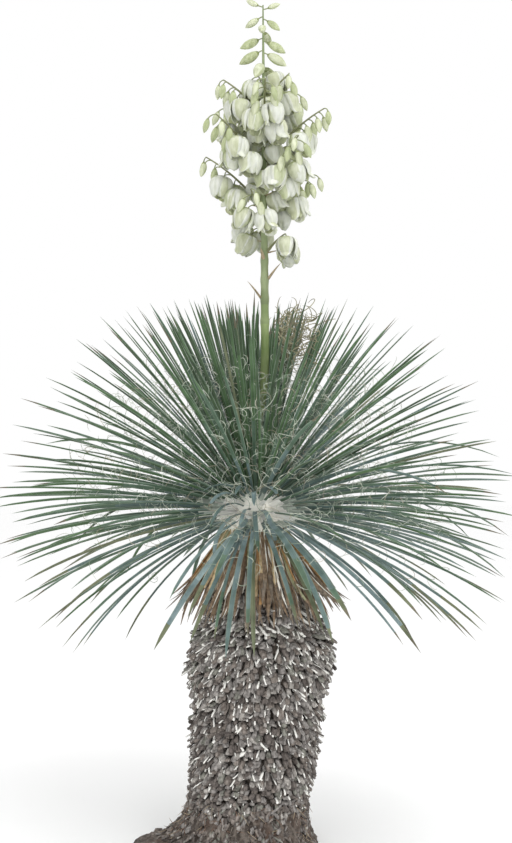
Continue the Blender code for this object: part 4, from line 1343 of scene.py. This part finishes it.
PETAL_FINISHES = [
    petal_finish("petal_foot_green", (140, 150, 98), (166, 175, 126)),
    petal_finish("petal_cream", (178, 183, 150), (204, 208, 182)),
    petal_finish("petal_white", (200, 204, 186), (222, 225, 211)),
    petal_finish("petal_green_cream", (168, 176, 138), (194, 200, 168)),
]
FOOT, CREAMY, WHITE, GREENISH = range(4)
bell_top, bell_down, bell_length = flower_top[~is_bud], flower_down[~is_bud], lengths[~is_bud]
PETAL_KINDS = (("outer_petals", False, [0.45, 0.4, 0.15]), ("inner_petals", True, [0.35, 0.55, 0.1]))
for name, inner, odds in PETAL_KINDS:
    rings = petal_rings(bell_top, bell_down, bell_length, flower_luck, inner)
    picked = flower_luck.choice([CREAMY, WHITE, GREENISH], (len(rings), 1, 1), p=odds)
    faces = np.broadcast_to(picked, (len(rings), len(PETAL_LEVELS) - 1, rings.shape[2])).copy()
    faces[..., PETAL_EDGES] = WHITE
    faces[:, GREEN_FOOT_BANDS, PETAL_RIB] = GREENISH
    faces[:, :GREEN_FOOT_BANDS] = FOOT
    petal_heap = Heap()
    petal_heap.add(rings, faces)
    petal_heap.piece(name, PETAL_FINISHES)

# %% [markdown]
# Through the gaps between petals one sees the pale inside of the flower. So little of it shows that
# one plump spindle in each bell stands for it, and the gaps don't look hollow.

# %% The hearts of the open flowers
HEART_RADII = np.array([0.04, 0.24, 0.33, 0.29, 0.16, 0.03])
HEART_LEVELS = np.array([0.06, 0.20, 0.40, 0.62, 0.80, 0.90])
heart_path = bell_top[:, None] + bell_down[:, None] * (HEART_LEVELS * bell_length[:, None])[..., None]
heart_heap = Heap()
heart_section = round_section(HEART_RADII * bell_length[:, None], 8)
heart_heap.add(sweep(heart_path, around(bell_down)[0], heart_section), 0)
heart_finish = petal_finish("heart_green_cream", (196, 202, 164), (218, 223, 192))
heart_heap.piece("flower_hearts", [heart_finish])

# %% [markdown]
# A bud is the same flower still closed. Its three outer petals show as soft ribs, so it is a spindle
# with a ribbed section, green at the foot and cream beyond, some greener than others.

# %% Buds
BUD_SIDES = 12
BUD_FOOT, BUD_GREENER, BUD_CREAM = range(3)
BUD_LEVELS = np.array([0, 0.03, 0.10, 0.25, 0.45, 0.65, 0.82, 0.94, 1.0])
BUD_RADII = np.array([0.04, 0.075, 0.125, 0.185, 0.215, 0.195, 0.130, 0.060, 0.012])
bud_top, bud_down, bud_length = flower_top[is_bud], flower_down[is_bud], lengths[is_bud]
bud_ribs = 1 + 0.08 * np.cos(3 * np.arange(BUD_SIDES) * math.tau / BUD_SIDES)
bud_path = bud_top[:, None] + bud_down[:, None] * (BUD_LEVELS * bud_length[:, None])[..., None]
bud_section = round_section(BUD_RADII * bud_length[:, None], BUD_SIDES) * bud_ribs[:, None]
bud_heap = Heap()
bud_bands = np.full((len(bud_top), len(BUD_LEVELS) - 1, BUD_SIDES), BUD_CREAM)
bud_bands[:, :, ::4] = BUD_GREENER
bud_bands[flower_luck.uniform(0, 1, len(bud_top)) < 0.4] = BUD_GREENER
bud_bands[:, :GREEN_FOOT_BANDS] = BUD_FOOT
bud_heap.add(sweep(bud_path, around(bud_down)[0], bud_section), bud_bands)
bud_finishes = [
    petal_finish("bud_foot_green", (118, 128, 80), (146, 155, 104)),
    petal_finish("bud_green_cream", (156, 165, 124), (184, 191, 154)),
    petal_finish("bud_cream", (180, 185, 155), (206, 210, 185)),
]
bud_heap.piece("flower_buds", bud_finishes)

# %% [markdown]
# Each flower hangs from a short stem that leaves its branch sideways and turns down into the flower. A
# smooth curve drawn to one turning point between its two ends bends like that, and the stem thickens
# where it enters the flower.

# %% Stems of flowers
STEM_RADIUS = 0.0012
stem_share = np.linspace(0, 1, 8)[:, None]
stem_end = (flower_top + flower_down * 0.002)[:, None]
stem_turn = (flower_top - flower_down * PEDICEL * 0.5) * 0.7 + (feet + outwards * PEDICEL * 0.7) * 0.3
stem_path = feet[:, None] * (1 - stem_share) ** 2 + stem_turn[:, None] * 2 * stem_share * (1 - stem_share)
stem_path = stem_path + stem_end * stem_share**2
stem_taper = np.interp(stem_share[:, 0], [0, 0.8, 1], [STEM_RADIUS, STEM_RADIUS, 2 * STEM_RADIUS])
stem_radii = stem_taper * np.ones((len(feet), 1))
stem_side = unit(np.cross(flower_top - feet, np.array([0.2, 0.3, 1.0])))
stem_heap = Heap()
stem_heap.add(sweep(stem_path, stem_side, round_section(stem_radii, 6)), 0)
stem_finish = leaf_finish("stem_green", (124, 132, 92), (150, 158, 118), 0.5)
stem_heap.piece("flower_stems", [stem_finish])

# %% [markdown]
# Small dry bracts sit where each branch leaves the stalk, and larger pointed ones stand lower down. They
# are withered leaves, so they are blades again, short and straw-coloured.

# %% Bracts
BRACT_RISE, SMALL_BRACT_RISE, BRACT_BEND, BRACT_STEPS = 57.0, 15.0, 12.0, 6
BRACT_NARROW = 0.14
bract_height = np.array([b[0] for b in STALK_BRACTS] + list(branch_height))
bract_azimuth = np.array([math.radians(b[1]) for b in STALK_BRACTS] + list(branch_azimuth + 0.15))
bract_long = np.array([b[2] for b in STALK_BRACTS] + list(0.016 + 0.012 * (1 - branch_share)))
bract_count = len(bract_height)
bract_root = stalk_middle(bract_height) + facing(bract_azimuth) * (stalk_radius(bract_height) * 0.8)[:, None]
bract_elevation = np.full(bract_count, math.radians(BRACT_RISE))
bract_elevation[len(STALK_BRACTS):] = math.radians(SMALL_BRACT_RISE)
bract_bend = np.full(bract_count, math.radians(BRACT_BEND))
bract_path = bending_path(
    bract_root, bract_azimuth, bract_elevation, bract_bend, bract_long, BRACT_STEPS, 1.2
)
bract_share = np.linspace(0, 1, BRACT_STEPS + 1)
bract_taper = np.interp(bract_share, [0, 0.25, 0.7, 1], [0.9, 1.0, 0.55, 0.05])
bract_half = BRACT_NARROW * bract_long[:, None] * bract_taper
bract_heap = Heap()
bract_heap.add(blades(bract_path, facing(bract_azimuth + math.pi / 2), bract_half), 0)
bract_finish = dry_finish("bract_straw", (150, 134, 106), (196, 178, 146), 0.75)
bract_heap.piece("dry_bracts", [bract_finish])

# %% [markdown]
# The dressed plant should fill nearly the same box as the solids.

# %% The end
print("the dressed plant is built")
